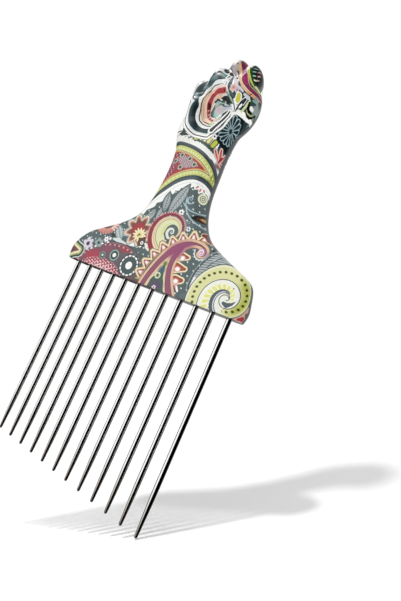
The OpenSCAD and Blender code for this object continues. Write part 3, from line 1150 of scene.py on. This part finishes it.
@printed
def curl(across, up):
    eye = Place(17.3, 15.75)
    fringe = size_of(part_of(eye.turn() * 15) - 0.5)
    low = larger(eye.r - 3.2 + fringe * 0.7, (up - 15.4) - (17.3 - across) * 0.4)
    lay(larger(low, 2.0 - eye.r), (-0.9, "#a8b0b0"), (-0.7, SLATE), (-0.25, "#dadfdd"), (0, SLATE))
    lay(eye.r - 1.3, (-0.25, "#f6e2ea"), (0, "#e2b8c8"))
    arm = part_of(log_of(eye.r) * 0.95 - eye.turn(200))
    lay(larger(size_of(arm - 0.5) - 0.14, eye.r - 1.25, 0.3 - eye.r), (0, "#a2688c"))
    rings(17.3, 15.75, (0.2, "#4e2a40"))
    brush("#b79fae", (19.5, 16.2, 0.25), (19.6, 15.2, 0.4), (19.0, 14.2, 0.2))
    lay(
        stroke((15.3, 21.4, 0.6), (16.6, 21.6, 1.0), (17.9, 20.5, 0.95), (19.0, 19.6, 0.4)),
        (-0.35, "#7e0f14"), (0, "#5a2a18"), (0.3, PEACH),
    )

# %% [markdown]
# Long striped leaves lie along the upper edge of the right end. Their sides are
# arcs round one centre, and their stripes cross them at a slant.

# %% Print the leaves beside the snail
@printed
def long_leaves(across, up):
    blade = Place(32, 6.5)
    rim = larger(blade.r - 14.1, 9.6 - blade.r, across - 29.5)
    lay(rim, (0, "#b7bebe"))
    barb = size_of(part_of(up * 1.15 + blade.r * 0.25) - 0.5)
    lay(larger(rim, barb - 0.2), (0, "#737f82"))
    wash(stroke((18.6, 4.0, 0.1), (18.7, 7.5, 0.25)), "#f4f4f8", 0.5)
    wash(larger(Place(23.5, 14.0).r - 0.8, size_of(blade.r - 12.6) - 0.3), "#e6e6ea", 0.6)
    lay(larger(size_of(blade.r - 14.1) - 0.16, 2.8 - up), (0, "#3e4c4f"))
    lay(larger(size_of(blade.r - 14.75) - 0.16, 3.0 - up), (0, "#9aa6a6"))
    lay(larger(size_of(blade.r - 12.0) - 0.14, 11.6 - up), (0, "#3e4c4f"))
    brush("#2c3a3a", (20.9, 17.4, 0.5), (21.0, 18.6, 0.7))

# %% [markdown]
# The right end is one great snail. Two spirals are interleaved: the outer one
# closes the shell, and the inner one parts its coil from the row of yellow
# lumps. Each has a centre, a growth and a start of its own, set so that it
# passes through a few spots of the line in the photograph. The olive dots run
# midway between the two. Dots and lumps keep their distance from one another,
# so they are counted by the length of the arc, which for such a spiral is the
# radius times a constant.

# %% Print the snail
@printed
def snail(across, up):
    shell, inner = Place(31.34, 5.0), Place(31.22, 4.57, 0, (1.047, 1))
    turn = shell.turn(-90)
    arm = log_of(shell.r) * 0.8826 - turn - 1.499
    twin = log_of(inner.r) * 0.6645 - inner.turn(-90) - 0.624
    off, split_off = arm * shell.r * 1.11, twin * inner.r * 1.48
    corner = larger(34.0 - across, up - 5.0, off * -1)
    lay(corner, (0, "#d6b0a2"))
    brush("#b3303f", (36.9, 0.5, 0.3), (38.4, 1.1, 0.75))
    brush("#8a6a4c", (39.3, 2.6, 0.7), (40.2, 2.2, 0.7))
    lay(off, (-3.4, "#eeecce"), (-0.8, "#e0e1aa"), (-0.14, "#e8e9cc"), (0.14, "#4b5558"))
    trail = Place(30.82, 5.3, 0, (1.139, 1))
    dots = (log_of(trail.r) * 1.0111 - trail.turn(-90) - 1.4618) * trail.r * 0.977
    wash(larger(size_of(dots) - 0.4, (35.5 - across) * 0.5, off), "#c0c65c", 1.5)
    travel = exp_of(trail.turn(-90) * 0.989 + 1.4458)
    along = (part_of(travel * 3.89 + 0.825) - 0.5) * 1.65
    lay(larger(hypot(along, dots) - 0.46, off + 0.5, split_off * -1), (-0.18, "#3f4808"), (0, "#7d8330"))
    lay(split_off, (-3.2, "#e6e4bc"), (-1.0, "#eceed6"), (-0.14, "#f2f3ea"), (0.14, "#566064"))
    travel = exp_of(inner.turn(-90) * 1.505 + 0.578)
    along = (part_of(travel * 2.75 - 0.22) - 0.5) * 1.56
    lump = hypot(along * 1.35, split_off + 1.95) - 0.98
    lay(larger(lump, twin * -1 - 0.9), (-0.2, "#e8e690"), (0, "#fafaf0"))
    brush("#5a5c3c", (32.2, 8.3, 0.16), (32.5, 8.2, 0.1))
    core = Place(31.44, 4.74, 0, (1.037, 1))
    turn = core.turn(-90)
    coil = (log_of(core.r) * 0.3727 - turn + 0.3488) * core.r * 2.47
    wide = smaller(larger((turn - 0.47) * 4.2, 0), 1.15)
    nibble = size_of(wave(turn * (TURN / 2 * 36))) * 0.22
    lay(larger(coil - 0.55 - wide - nibble, 0.47 - turn, coil * -1), (0, "#56656a"))
    lay(larger(coil - 0.6, 0.47 - turn, coil * -1), (-0.12, "#dcdde8"), (0, "#8a9396"))
    lay(coil, (-0.13, "#eef0e4"), (0.13, "#566064"))
    brush("#59686d", (31.0, 3.3, 0.5), (32.2, 2.95, 0.75), (33.5, 3.7, 0.45), (34.3, 4.7, 0.12))
    line = size_of(part_of(twin + 0.5) - 0.5) * inner.r * 1.48
    lay(larger(line - 0.13, 0.9 - inner.r, twin + 0.5), (0, "#566064"))

# %% [markdown]
# A strip of white scallops crosses the wrist over the slate border of the great
# almond, with a ragged green edge and lime and slate bits above it.

# %% Print the wrist
@printed
def wrist(across, up):
    lay(larger(across + 6.5, 55 - up), (0, WHITE))
    high = Place(-8.5, 22.5)
    lay(larger(28.1 - high.r, across - 7.0, 46.5 - up, up - 53.6), (0, "#f4f5ef"))
    bump = size_of(wave(high.turn() * (TURN / 2 * 126))) * 0.55
    lay(larger(size_of(high.r - 29.7 - bump) - 0.1, 48.5 - up), (0, "#8b9794"))
    edge = stroke(
        (-2.2, 51.9, 0.25), (1.0, 51.4, 0.6), (3.2, 50.6, 0.75), (5.6, 49.5, 0.75),
        (6.4, 48.6, 0.3),
    )
    nibble = size_of(part_of((across - up * 0.5) / 1.05) - 0.5) * 0.5
    lay(edge + nibble, (0, "#466058"))
    brush("#2f4030", (-5.0, 52.0, 0.15), (-4.2, 52.7, 0.2))
    brush("#c4cd74", (-3.6, 52.7, 0.15), (-2.2, 52.4, 0.5), (0.2, 52.5, 0.35), (2.4, 52.6, 0.6))
    brush(
        "#2f4030", (-3.5, 52.5, 0.16), (-2.0, 51.4, 0.16), (-0.9, 52.1, 0.2), (0.0, 51.7, 0.15),
        (1.0, 52.3, 0.25),
    )
    brush("#3b4647", (-9.2, 52.9, 0.15), (-7.5, 53.1, 0.75), (-5.4, 53.0, 0.12))
    brush("#56605f", (-8.8, 54.9, 0.3), (-8.3, 54.9, 0.25))

# %% [markdown]
# Right of it a starburst daisy stands on deep teal: sixteen narrow loops, with
# spokes that run from them to the middle. Below it a coral flower opens to the
# edge, five strokes with pale rims, and two yellow petals lean on the strip.

# %% Print the starburst and the coral flower
@printed
def starburst(across, up):
    star = Place(9.0, 57.6)
    lay(star.r, (5.6, DEEP))
    brush(DEEP, (8.6, 53.0, 1.2), (10.4, 52.3, 1.2), (13.0, 54.0, 1.5))
    turn = star.turn(3)
    along, out = row(star, turn, 16, 2.55)
    petal = hypot(along * 0.92, larger(size_of(out) - 1.25, 0)) - 0.66
    lay(petal, (-0.24, "#17363c"), (0.02, "#a9c2c8"))
    spoke = star.r * (TURN / 32) - size_of(along) - 0.12
    lay(larger(spoke, star.r - 2.9, 0.75 - star.r), (0, "#a9c2c8"))
    wash(star.r - 0.4, "#1c3842", 0.6)
    brush("#6f9490", (9.4, 53.7, 0.1), (11.6, 54.1, 0.14), (13.2, 55.6, 0.1))


@printed
def coral_flower(across, up):
    wash(stroke((9.0, 45.4, 0.3), (11.6, 46.0, 0.5)), "#8d6f72", 1.3)
    for spots in (
        ((9.8, 47.2, 0.35), (11.5, 48.8, 1.0), (12.3, 50.4, 0.8)),
        ((9.6, 46.6, 0.3), (11.2, 46.6, 0.7), (12.4, 47.2, 0.4)),
        ((9.2, 46.9, 0.3), (7.5, 48.6, 0.6), (6.6, 49.9, 0.5)),
        ((9.4, 47.2, 0.35), (8.9, 49.6, 0.72), (8.5, 51.1, 0.55)),
        ((9.5, 47.2, 0.3), (10.3, 49.0, 0.6), (10.8, 50.2, 0.4)),
    ):
        lay(stroke(*spots), (-0.35, "#c9604f"), (-0.14, "#e79a8c"), (0.12, "#f5dbd6"), (0.24, "#5a3a3a"))
    brush("#a82f38", (9.2, 46.9, 0.3), (9.7, 48.3, 0.55), (10.0, 49.2, 0.15))
    for u, v in ((6.7, 49.6), (8.6, 50.9)):
        rings(u, v, (0.2, "#4a3840"))
    lay(stroke((3.9, 53.6, 0.45), (3.2, 51.9, 0.8)), (-0.1, "#e3de9c"), (0.2, "#59622c"))
    lay(stroke((5.6, 52.3, 0.85), (5.1, 50.9, 0.8)), (-0.15, "#cdd25a"), (0.2, "#4d5a1e"))
    daisy(4.5, 54.1, 1.0, 5, "#f4ecf2", "#2c2634")

# %% [markdown]
# The little finger's side of the fist carries the bent, scalloped almond that
# is the mark of paisley. Its teal ground is a chain of lobes, cut by a slanting
# stem, with two white lines round it. Soft washes paint shade and highlights on
# the lobes: dark between and under them, lighter teal on the knuckles.

# %% Print the almond's lobes
@printed
def lobes(across, up):
    lay(larger(across + 8.0, 54 - up, up - 76.5), (0, WHITE))
    bottom = stroke((-1.8, 61.3, 6.55), (0.8, 61.2, 6.7))
    middle = Place(-5.9, 68.9).r - 4.3
    upper = stroke((-4.2, 73.6, 4.2), (-1.0, 71.5, 4.0), (1.5, 70.5, 3.6))
    stem = (Place(2.9, 55.8, 56.5).y - 0.6) * -1
    off = larger(smaller(bottom, smaller(middle, upper)), stem)
    lay(off, (0, TEAL), (0.45, MIST), (1.05, WHITE), (1.4, INK), (2.1, WHITE), (2.25, GREY))
    # Painted shade and highlights: the dark washes shade the lobes' edges and grooves, and the lighter
    # teal washes are painted highlights on the knuckles.
    wash(larger(bottom + 1.8, up - 63, stem + 0.6), "#0f2c33", 1.2)
    wash(larger(middle + 0.8, 64.5 - up, bottom * -1 + 0.2), "#2a484e", 1.4)
    wash(stroke((-9.0, 68.6, 0.1), (-7.9, 66.6, 0.3)), "#6c8a8d", 0.7)
    wash(stroke((-7.0, 71.2, 0.2), (-4.6, 69.8, 0.4)), "#6d888c", 0.8)
    wash(stroke((-8.9, 69.8, 0.3), (-8.1, 72.5, 0.5)), "#122d34", 0.9)
    wash(stroke((-6.6, 68.4, 0.2), (-6.6, 66.0, 0.3)), "#20434a", 0.8)
    wash(stroke((-7.6, 75.4, 0.7), (-5.2, 72.6, 0.6), (-3.6, 71.0, 0.3)), "#2a5356", 0.9)
    wash(stroke((-5.6, 77.0, 0.5), (-4.3, 75.0, 0.9), (-3.0, 73.4, 0.4)), "#23272b", 0.9)
    wash(stroke((-3.2, 72.6, 0.3), (-1.6, 72.8, 0.6)), "#71868b", 0.9)
    wash(stroke((-1.9, 76.0, 0.4), (-0.6, 73.6, 0.5), (0.4, 72.4, 0.2)), "#132f35", 0.8)
    wash(stroke((0.4, 73.8, 0.2), (1.5, 73.2, 0.3)), "#5d8a86", 0.6)
    wash(stroke((-5.6, 77.6, 0.8), (-4.2, 79.4, 1.1)), "#f1f0f4", 0.5)

# %% [markdown]
# Inside, white, peach and red bands follow one bent stroke in the form of a C.
# The bands are distances from that one stroke, so they stay side by side round
# every bend, and thin stripes in the peach follow it too.

# %% Print the bands inside the almond
@printed
def bent_almond(across, up):
    inner = smaller(
        stroke((2.4, 62.2, 5.4), (-0.2, 61.9, 5.7), (-2.9, 66.2, 3.5)),
        stroke((-2.9, 66.2, 3.5), (0.2, 67.8, 3.95), (2.0, 68.2, 3.7)),
    )
    stem = (Place(2.2, 56.6, 54).y - 0.35) * -1
    rim = larger(inner, stem, smaller(across - 3.9, 68.4 - up))
    lay(rim, (0, "#eef3f0"))
    within = Place(0.9, 63.9).r - 6.5
    red = (
        (3.2, 68.75, 0.6), (1.5, 68.75, 0.52), (0.2, 68.95, 0.5), (-0.9, 68.75, 0.46), (-1.8, 67.8, 0.42),
        (-2.15, 66.5, 0.42), (-2.45, 65.2, 0.62), (-2.45, 64.0, 0.7), (-1.9, 62.5, 0.62),
        (-1.1, 60.9, 0.42),
        (0.0, 60.0, 0.4), (1.1, 59.5, 0.36),
    )
    core = stroke(*bent(*red))
    lay(larger(core - 2.4, rim, within), (0, "#f3e6dc"))
    lay(larger(core - 2.2, core * -1, across - 2.2, up - 69.4, rim, within + 0.3), (0, "#efd2b8"))
    lay(
        larger(stroke((0.9, 62.6, 2.2), (1.1, 65.0, 2.3), (3.2, 66.4, 1.5)), rim),
        (-0.5, "#55706c"), (-0.2, "#2c474a"), (0.1, WHITE),
    )
    stripe = size_of(part_of(core * 1.9) - 0.5)
    lay(larger(core - 1.9, 0.75 - core, stripe - 0.17, across + 2.4), (0, "#a98468"))
    line = stroke(
        (2.4, 70.3, 0.06), (0.0, 70.45, 0.12), (-1.8, 70.3, 0.14), (-2.7, 69.6, 0.16), (-3.1, 68.5, 0.17),
        (-4.2, 67.2, 0.17), (-4.95, 66.2, 0.17), (-5.15, 64.4, 0.18), (-4.85, 62.0, 0.18),
        (-4.5, 60.4, 0.18),
        (-3.6, 58.8, 0.2), (-2.0, 57.8, 0.2), (0.0, 57.2, 0.18), (1.8, 57.2, 0.12),
    )
    lay(line, (0, "#3c4440"))
    wash(stroke((0.4, 57.9, 0.1), (1.9, 58.2, 0.3)), "#b9cfa4", 0.5)
    brush("#2f3424", (-2.4, 58.95, 0.08), (-1.2, 58.5, 0.2), (0.5, 58.05, 0.14))
    lay(larger(core, rim), (0, "#b8434a"), (0.22, "#f0c9bf"))
    wash(stroke((-2.45, 65.0, 0.35), (-2.4, 64.0, 0.4)), "#5e0c10", 0.35)
    for u, v, size in (
        (-1.75, 62.5, 0.4), (-1.2, 60.8, 0.22), (-0.1, 60.0, 0.2), (1.0, 59.5, 0.2),
        (3.2, 68.7, 0.2),
    ):
        wash(Place(u, v).r - size, "#6a1418", 0.35)
    for u, v in ((-2.3, 63.2), (-1.3, 61.6), (-0.6, 60.5), (0.5, 59.8)):
        wash(Place(u, v).r - 0.1, "#efb0a8", 0.3)
    brush("#efc6cb", (3.3, 69.8, 0.12), (3.5, 71.3, 0.1))
    lay(stroke((2.5, 70.9, 0.1), (3.0, 71.9, 0.12), (3.7, 72.8, 0.1)), (0, "#5a5360"), (0.3, WHITE))
    lay(stroke((3.3, 70.2, 0.14), (3.45, 71.2, 0.1)), (0, "#6c3a4a"))
    lay(stroke((4.0, 70.6, 0.1), (4.2, 72.4, 0.16), (3.7, 73.8, 0.22), (2.6, 73.9, 0.25)), (0, WHITE))
    brush(
        "#d4e6e6", (2.8, 73.9, 0.25), (1.3, 74.4, 0.26), (0.1, 75.0, 0.24), (-0.8, 76.2, 0.24),
        (-1.6, 77.4, 0.22), (-3.2, 77.9, 0.2),
    )
    lay(stroke((2.4, 72.3, 0.2), (2.5, 73.6, 0.2)), (0, WHITE))

# %% [markdown]
# A pale heart with a dark wedge fills the mouth of the C. Green brush lines run
# along it, and the slanting stem below has a dark core between white rims.

# %% Print the heart and the stem
@printed
def heart(across, up):
    field = stroke((0.9, 65.0, 1.0), (2.0, 63.6, 1.9), (4.0, 63.9, 1.3), (6.4, 63.8, 0.45))
    lay(field, (0, "#d3d5d8"), (0.25, WHITE))
    wash(stroke((0.9, 62.0, 0.2), (1.8, 61.5, 0.4)), "#aed8c6", 0.5)
    wash(stroke((1.2, 64.6, 0.2), (1.6, 63.4, 0.3)), "#dfc6cc", 0.6)
    wash(stroke((4.4, 64.4, 0.2), (6.6, 63.9, 0.2)), "#c3cbe0", 0.5)
    brush(
        "#8fb8a6", (-0.1, 65.4, 0.14), (0.0, 63.6, 0.14), (0.4, 62.0, 0.14), (1.1, 60.9, 0.16),
        (2.2, 60.4, 0.12),
    )
    brush("#2c4c50", (-1.0, 66.5, 0.26), (-0.3, 67.3, 0.36), (0.9, 67.1, 0.14))
    brush(
        "#b8dccd", (-0.6, 65.4, 0.2), (-0.2, 66.2, 0.22), (0.8, 66.75, 0.2), (2.0, 66.4, 0.16),
        (3.6, 65.6, 0.1),
    )
    brush(
        "#4b6b5e", (0.2, 65.0, 0.1), (0.6, 65.9, 0.2), (1.6, 66.0, 0.2), (3.0, 65.3, 0.22),
        (4.8, 64.7, 0.16), (6.8, 64.3, 0.1),
    )
    brush("#8fb5a6", (4.5, 67.9, 0.3), (5.9, 66.5, 0.3), (7.4, 65.3, 0.3))
    brush(
        "#0e1f1e", (1.3, 67.5, 0.06), (2.9, 67.4, 0.42), (4.1, 67.0, 0.72), (5.4, 65.9, 0.62),
        (7.2, 65.0, 0.1),
    )
    for shift in (0.0, 0.55, 1.1):
        brush("#7f8579", (2.0 + shift, 59.4 + shift * 0.2, 0.09), (3.2 + shift, 61.2 + shift * 0.3, 0.09))
    brush(WHITE, (2.0, 57.3, 0.32), (3.1, 59.3, 0.32), (4.6, 60.9, 0.3), (6.2, 62.3, 0.25))
    lay(
        stroke(
            (2.4, 56.0, 0.7), (3.2, 57.6, 0.48), (4.0, 59.1, 0.46), (5.3, 60.4, 0.42),
            (6.4, 61.5, 0.38), (7.0, 62.6, 0.24),
        ),
        (0, "#39343a"), (0.5, WHITE), (0.62, GREY),
    )
    brush("#15171a", (4.0, 59.2, 0.3), (5.3, 60.4, 0.36), (6.4, 61.5, 0.32), (7.0, 62.6, 0.2))
    brush(
        "#454b50", (2.3, 53.8, 0.12), (3.6, 55.0, 0.14), (4.4, 56.9, 0.13), (5.1, 58.5, 0.12),
        (6.3, 59.8, 0.12),
        (7.7, 61.2, 0.1),
    )

# %% [markdown]
# Between the almond and the ribbons, the folded fingers show patches of slate,
# grey and lilac with small flowers. They are strokes too, laid one over the
# other, and their order decides which one shows.

# %% Print the patches on the fingers
@printed
def finger_fields(across, up):
    lay(
        stroke((4.3, 73.6, 0.3), (4.7, 71.6, 0.5), (4.9, 69.8, 0.75), (5.9, 68.1, 0.8), (7.2, 66.8, 0.4)),
        (-0.3, "#44636f"), (0, "#1f3138"),
    )
    brush("#0d1b1e", (-2.6, 79.6, 0.6), (-1.0, 77.9, 0.9), (0.3, 76.4, 0.75), (1.4, 75.1, 0.3))
    brush("#6d6668", (-2.0, 82.5, 1.2), (0.4, 79.4, 0.8))
    brush("#3a3536", (-2.6, 80.9, 0.35), (-0.2, 78.6, 0.3))
    brush("#bfb4b6", (0.6, 84.2, 1.6), (1.3, 81.0, 1.4), (2.2, 78.4, 1.0), (2.7, 77.0, 0.5))
    wash(stroke((0.2, 82.6, 0.3), (1.0, 82.2, 0.5)), "#f3efe4", 0.8)
    wash(stroke((3.0, 81.2, 0.3), (3.3, 79.6, 0.4)), "#d2c27e", 0.5)
    for u, v in ((1.9, 81.0), (1.0, 79.4), (3.0, 78.2)):
        wash(Place(u, v).r - 0.15, "#4a3c38", 0.3)
    brush("#1a2c22", (1.8, 76.4, 0.4), (2.8, 75.0, 0.6), (3.4, 74.4, 0.3))
    brush(
        "#ddd6e2", (2.9, 77.4, 0.3), (4.4, 75.3, 0.4), (5.5, 73.2, 0.5), (6.4, 71.6, 0.55),
        (7.6, 70.3, 0.5), (9.6, 69.3, 0.45),
    )
    wash(stroke((5.3, 74.2, 0.1), (5.9, 73.3, 0.15)), "#4a3a4e", 0.3)
    wash(stroke((7.7, 71.2, 0.1), (8.0, 70.7, 0.15)), "#5a3a30", 0.3)
    wash(stroke((4.4, 76.2, 0.1), (5.2, 74.9, 0.1)), "#6a6070", 0.25)
    daisy(6.5, 69.4, 1.15, 6, "#dfb4b4", "#b9867e", "#efe4c8")
    daisy(7.9, 68.9, 0.9, 5, "#d9c8d0", "#9a7c84")
    brush("#ccd6dc", (10.6, 68.6, 0.5), (12.0, 68.3, 0.7))

# %% [markdown]
# Ribbons run over the folded fingers: peach, magenta and lime, with a dark
# green field of short dashes on the index finger. The magenta one is bent and
# has a darker rim, a brighter middle and fine specks.

# %% Print the ribbons
@printed
def ribbons(across, up):
    brush(
        "#1c3028", (4.8, 84.4, 0.6), (8.0, 83.0, 1.2), (10.5, 80.0, 1.9), (11.5, 77.4, 1.6),
        (12.4, 75.8, 0.9),
    )
    brush("#e6cfd2", (4.3, 83.4, 0.4), (5.8, 80.6, 0.9), (7.3, 78.6, 0.3))
    brush("#f4f6ee", (5.6, 82.2, 0.6), (7.0, 81.0, 1.05), (7.6, 79.8, 0.4))
    for u, v, tilt, ink in (
        (9.2, 79.7, 40, "#8fb8a8"), (9.4, 78.4, 35, "#8fc0a4"), (9.9, 77.2, 30, "#a8d0b4"),
        (10.8, 76.3, 25, "#e6ead8"),
        (10.7, 79.7, 55, "#cf98a2"), (11.3, 78.4, 60, "#d9b0b4"), (11.6, 77.0, 50, "#c8b4a8"),
        (10.2, 81.0, 55, "#8a6a74"),
    ):
        oval(u, v, tilt, 0.75, 0.22, (0, ink))
    brush("#5a2030", (10.4, 78.7, 0.25), (11.0, 77.4, 0.2))
    brush("#2c5a20", (7.9, 79.2, 0.3), (8.6, 77.3, 0.35), (10.0, 75.9, 0.3), (12.2, 75.1, 0.25))
    brush(
        "#cfd062", (7.2, 79.2, 0.2), (8.0, 77.0, 0.34), (9.4, 75.3, 0.36), (11.2, 74.2, 0.36),
        (14.0, 73.0, 0.4),
    )
    brush(
        "#ecc8a4", (3.3, 80.4, 0.45), (3.9, 78.4, 0.62), (5.2, 76.4, 0.66), (6.4, 74.4, 0.66),
        (7.8, 72.5, 0.64),
        (9.3, 70.9, 0.66), (11.0, 70.1, 0.66), (13.6, 69.8, 0.62), (16.0, 69.6, 0.5),
    )
    wash(stroke((11.5, 70.0, 0.2), (15.0, 69.7, 0.3)), "#e39a68", 0.6)
    brush("#3a2420", (12.1, 69.2, 0.16), (12.6, 70.2, 0.1))
    band = (
        (2.9, 85.0, 0.6), (3.4, 82.4, 0.72), (4.5, 80.0, 0.8), (5.7, 78.1, 0.84), (6.9, 76.1, 0.9),
        (8.1, 74.1, 0.95), (9.6, 72.5, 0.95), (11.5, 71.6, 0.9), (13.6, 71.2, 0.85), (16.0, 71.0, 0.7),
    )
    rim = stroke(*bent(*band))
    lay(rim, (-0.25, MAGENTA), (0, "#6c1740"))
    wash(larger(Place(8.2, 74.6, -58, (2.6, 1)).r - 0.7, rim + 0.2), "#b0286c", 0.5)
    speck = hypot(part_of(across / 0.7) - 0.5, part_of(up / 0.7) - 0.5) - 0.13
    lay(larger(rim + 0.35, speck), (0, "#701a48"))
    lay(larger(size_of(rim - 0.1) - 0.1, up - 79), (0, "#f3e2c4"))

# %% [markdown]
# The thumb side has a yellow drop, a slender leaf and a dark comma with a white
# eye. Towards the edge of the fist a grey-green wash is painted shade, where the side turns away from the
# light.

# %% Print the thumb side
@printed
def thumb_side(across, up):
    # Painted shade: a grey-green wash darkens the fist's edge that turns away from the lamp.
    edge_painted_shade = stroke((15.0, 69.6, 0.3), (16.8, 67.0, 1.2), (17.8, 63.5, 1.1), (17.6, 60.0, 0.6))
    wash(edge_painted_shade, "#95a29c", 1.2)
    brush("#dbe3b4", (12.2, 74.6, 0.5), (13.6, 74.2, 0.7), (15.4, 74.0, 1.0))
    brush(
        WHITE, (7.9, 62.1, 0.35), (9.6, 63.0, 0.75), (11.6, 63.0, 0.95), (14.2, 62.7, 0.75),
        (16.5, 63.0, 0.6),
    )
    lay(stroke((8.85, 67.6, 0.75), (8.85, 66.3, 0.85)), (-0.3, YELLOW), (0, "#dcdc84"), (0.28, WHITE))
    lay(
        stroke((8.8, 63.0, 0.16), (9.5, 64.6, 0.4), (10.4, 66.0, 0.62), (11.2, 67.4, 0.4)),
        (-0.22, "#3b3e50"), (0, "#14160f"), (0.2, WHITE),
    )
    lay(stroke((9.9, 64.5, 0.3), (10.4, 65.4, 0.3)), (0.0, WHITE), (0.14, INK))
    brush("#cfdca6", (10.9, 63.6, 0.3), (11.8, 65.2, 0.42), (12.3, 66.6, 0.4), (12.8, 67.8, 0.3))
    brush("#2f5a56", (12.9, 67.0, 0.4), (14.0, 67.7, 0.6), (15.4, 67.9, 0.4))
    brush("#8fb5a6", (13.8, 68.4, 0.25), (15.6, 68.6, 0.3))
    brush("#171c0c", (12.9, 66.9, 0.35), (12.8, 65.7, 0.42), (13.4, 64.8, 0.42), (14.6, 64.7, 0.32))
    brush("#b3ba74", (12.5, 64.7, 0.16), (13.3, 64.1, 0.24), (14.8, 64.1, 0.24), (16.0, 64.6, 0.16))
    brush(
        "#14180c", (12.5, 63.9, 0.12), (13.5, 63.3, 0.3), (14.9, 63.35, 0.34), (16.4, 64.2, 0.3),
        (17.2, 65.4, 0.2),
    )
    brush("#f1efee", (14.2, 66.0, 0.75), (15.0, 65.9, 0.6))
# %% [markdown]
# The printed halves end in a plain grey band along the sides. Most of it is on
# the back half, as the front half of the film reaches round the corner, and the
# parting line of the mould lies in it with two fine dark edges. The bottom face
# is bare dark moulding. The print is then made a shade deeper by a gamma of a
# little over one, as ink under a clear film looks. The film itself is smooth
# but not a mirror: a wide soft sheen, with a very thin clear coat on it.

# %% Finish the film
SEAM_HALF, SEAM_MIDDLE, BARE_HALF, BARE_FADE = 0.45, 0.8, 0.9, 1.1
BOTTOM_TOP = 0.05
INK_DEPTH = 1.12
tree = film.node_tree
press.update(tree=tree, ink=film_ink[0])
deep = Field(split.outputs["Z"])
wash(size_of(deep - SEAM_MIDDLE) - BARE_HALF, "#565e60", BARE_FADE)
lay(size_of(deep) - SEAM_HALF, (-0.2, "#5f6566"), (0, "#4b5051"))
lay(Field(split.outputs["Y"]) - BOTTOM_TOP, (0, "#2b2628"))
skin_shader = add(tree, "ShaderNodeBsdfPrincipled")
depth = add(tree, "ShaderNodeGamma")
depth.inputs["Gamma"].default_value = INK_DEPTH
tree.links.new(press["ink"], depth.inputs["Color"])
tree.links.new(depth.outputs[0], skin_shader.inputs["Base Color"])
skin_shader.inputs["Roughness"].default_value = 0.42
skin_shader.inputs["Coat Weight"].default_value = 0.06
skin_shader.inputs["Coat Roughness"].default_value = 0.12
end = add(tree, "ShaderNodeOutputMaterial")
tree.links.new(skin_shader.outputs[0], end.inputs["Surface"])
handle_data.materials.append(film)
print("print nodes:", len(tree.nodes))

# %% [markdown]
# Last, the dressed pieces are counted.

# %% Count the dressed pieces
print("dressed pieces:", len(pins) + 1)
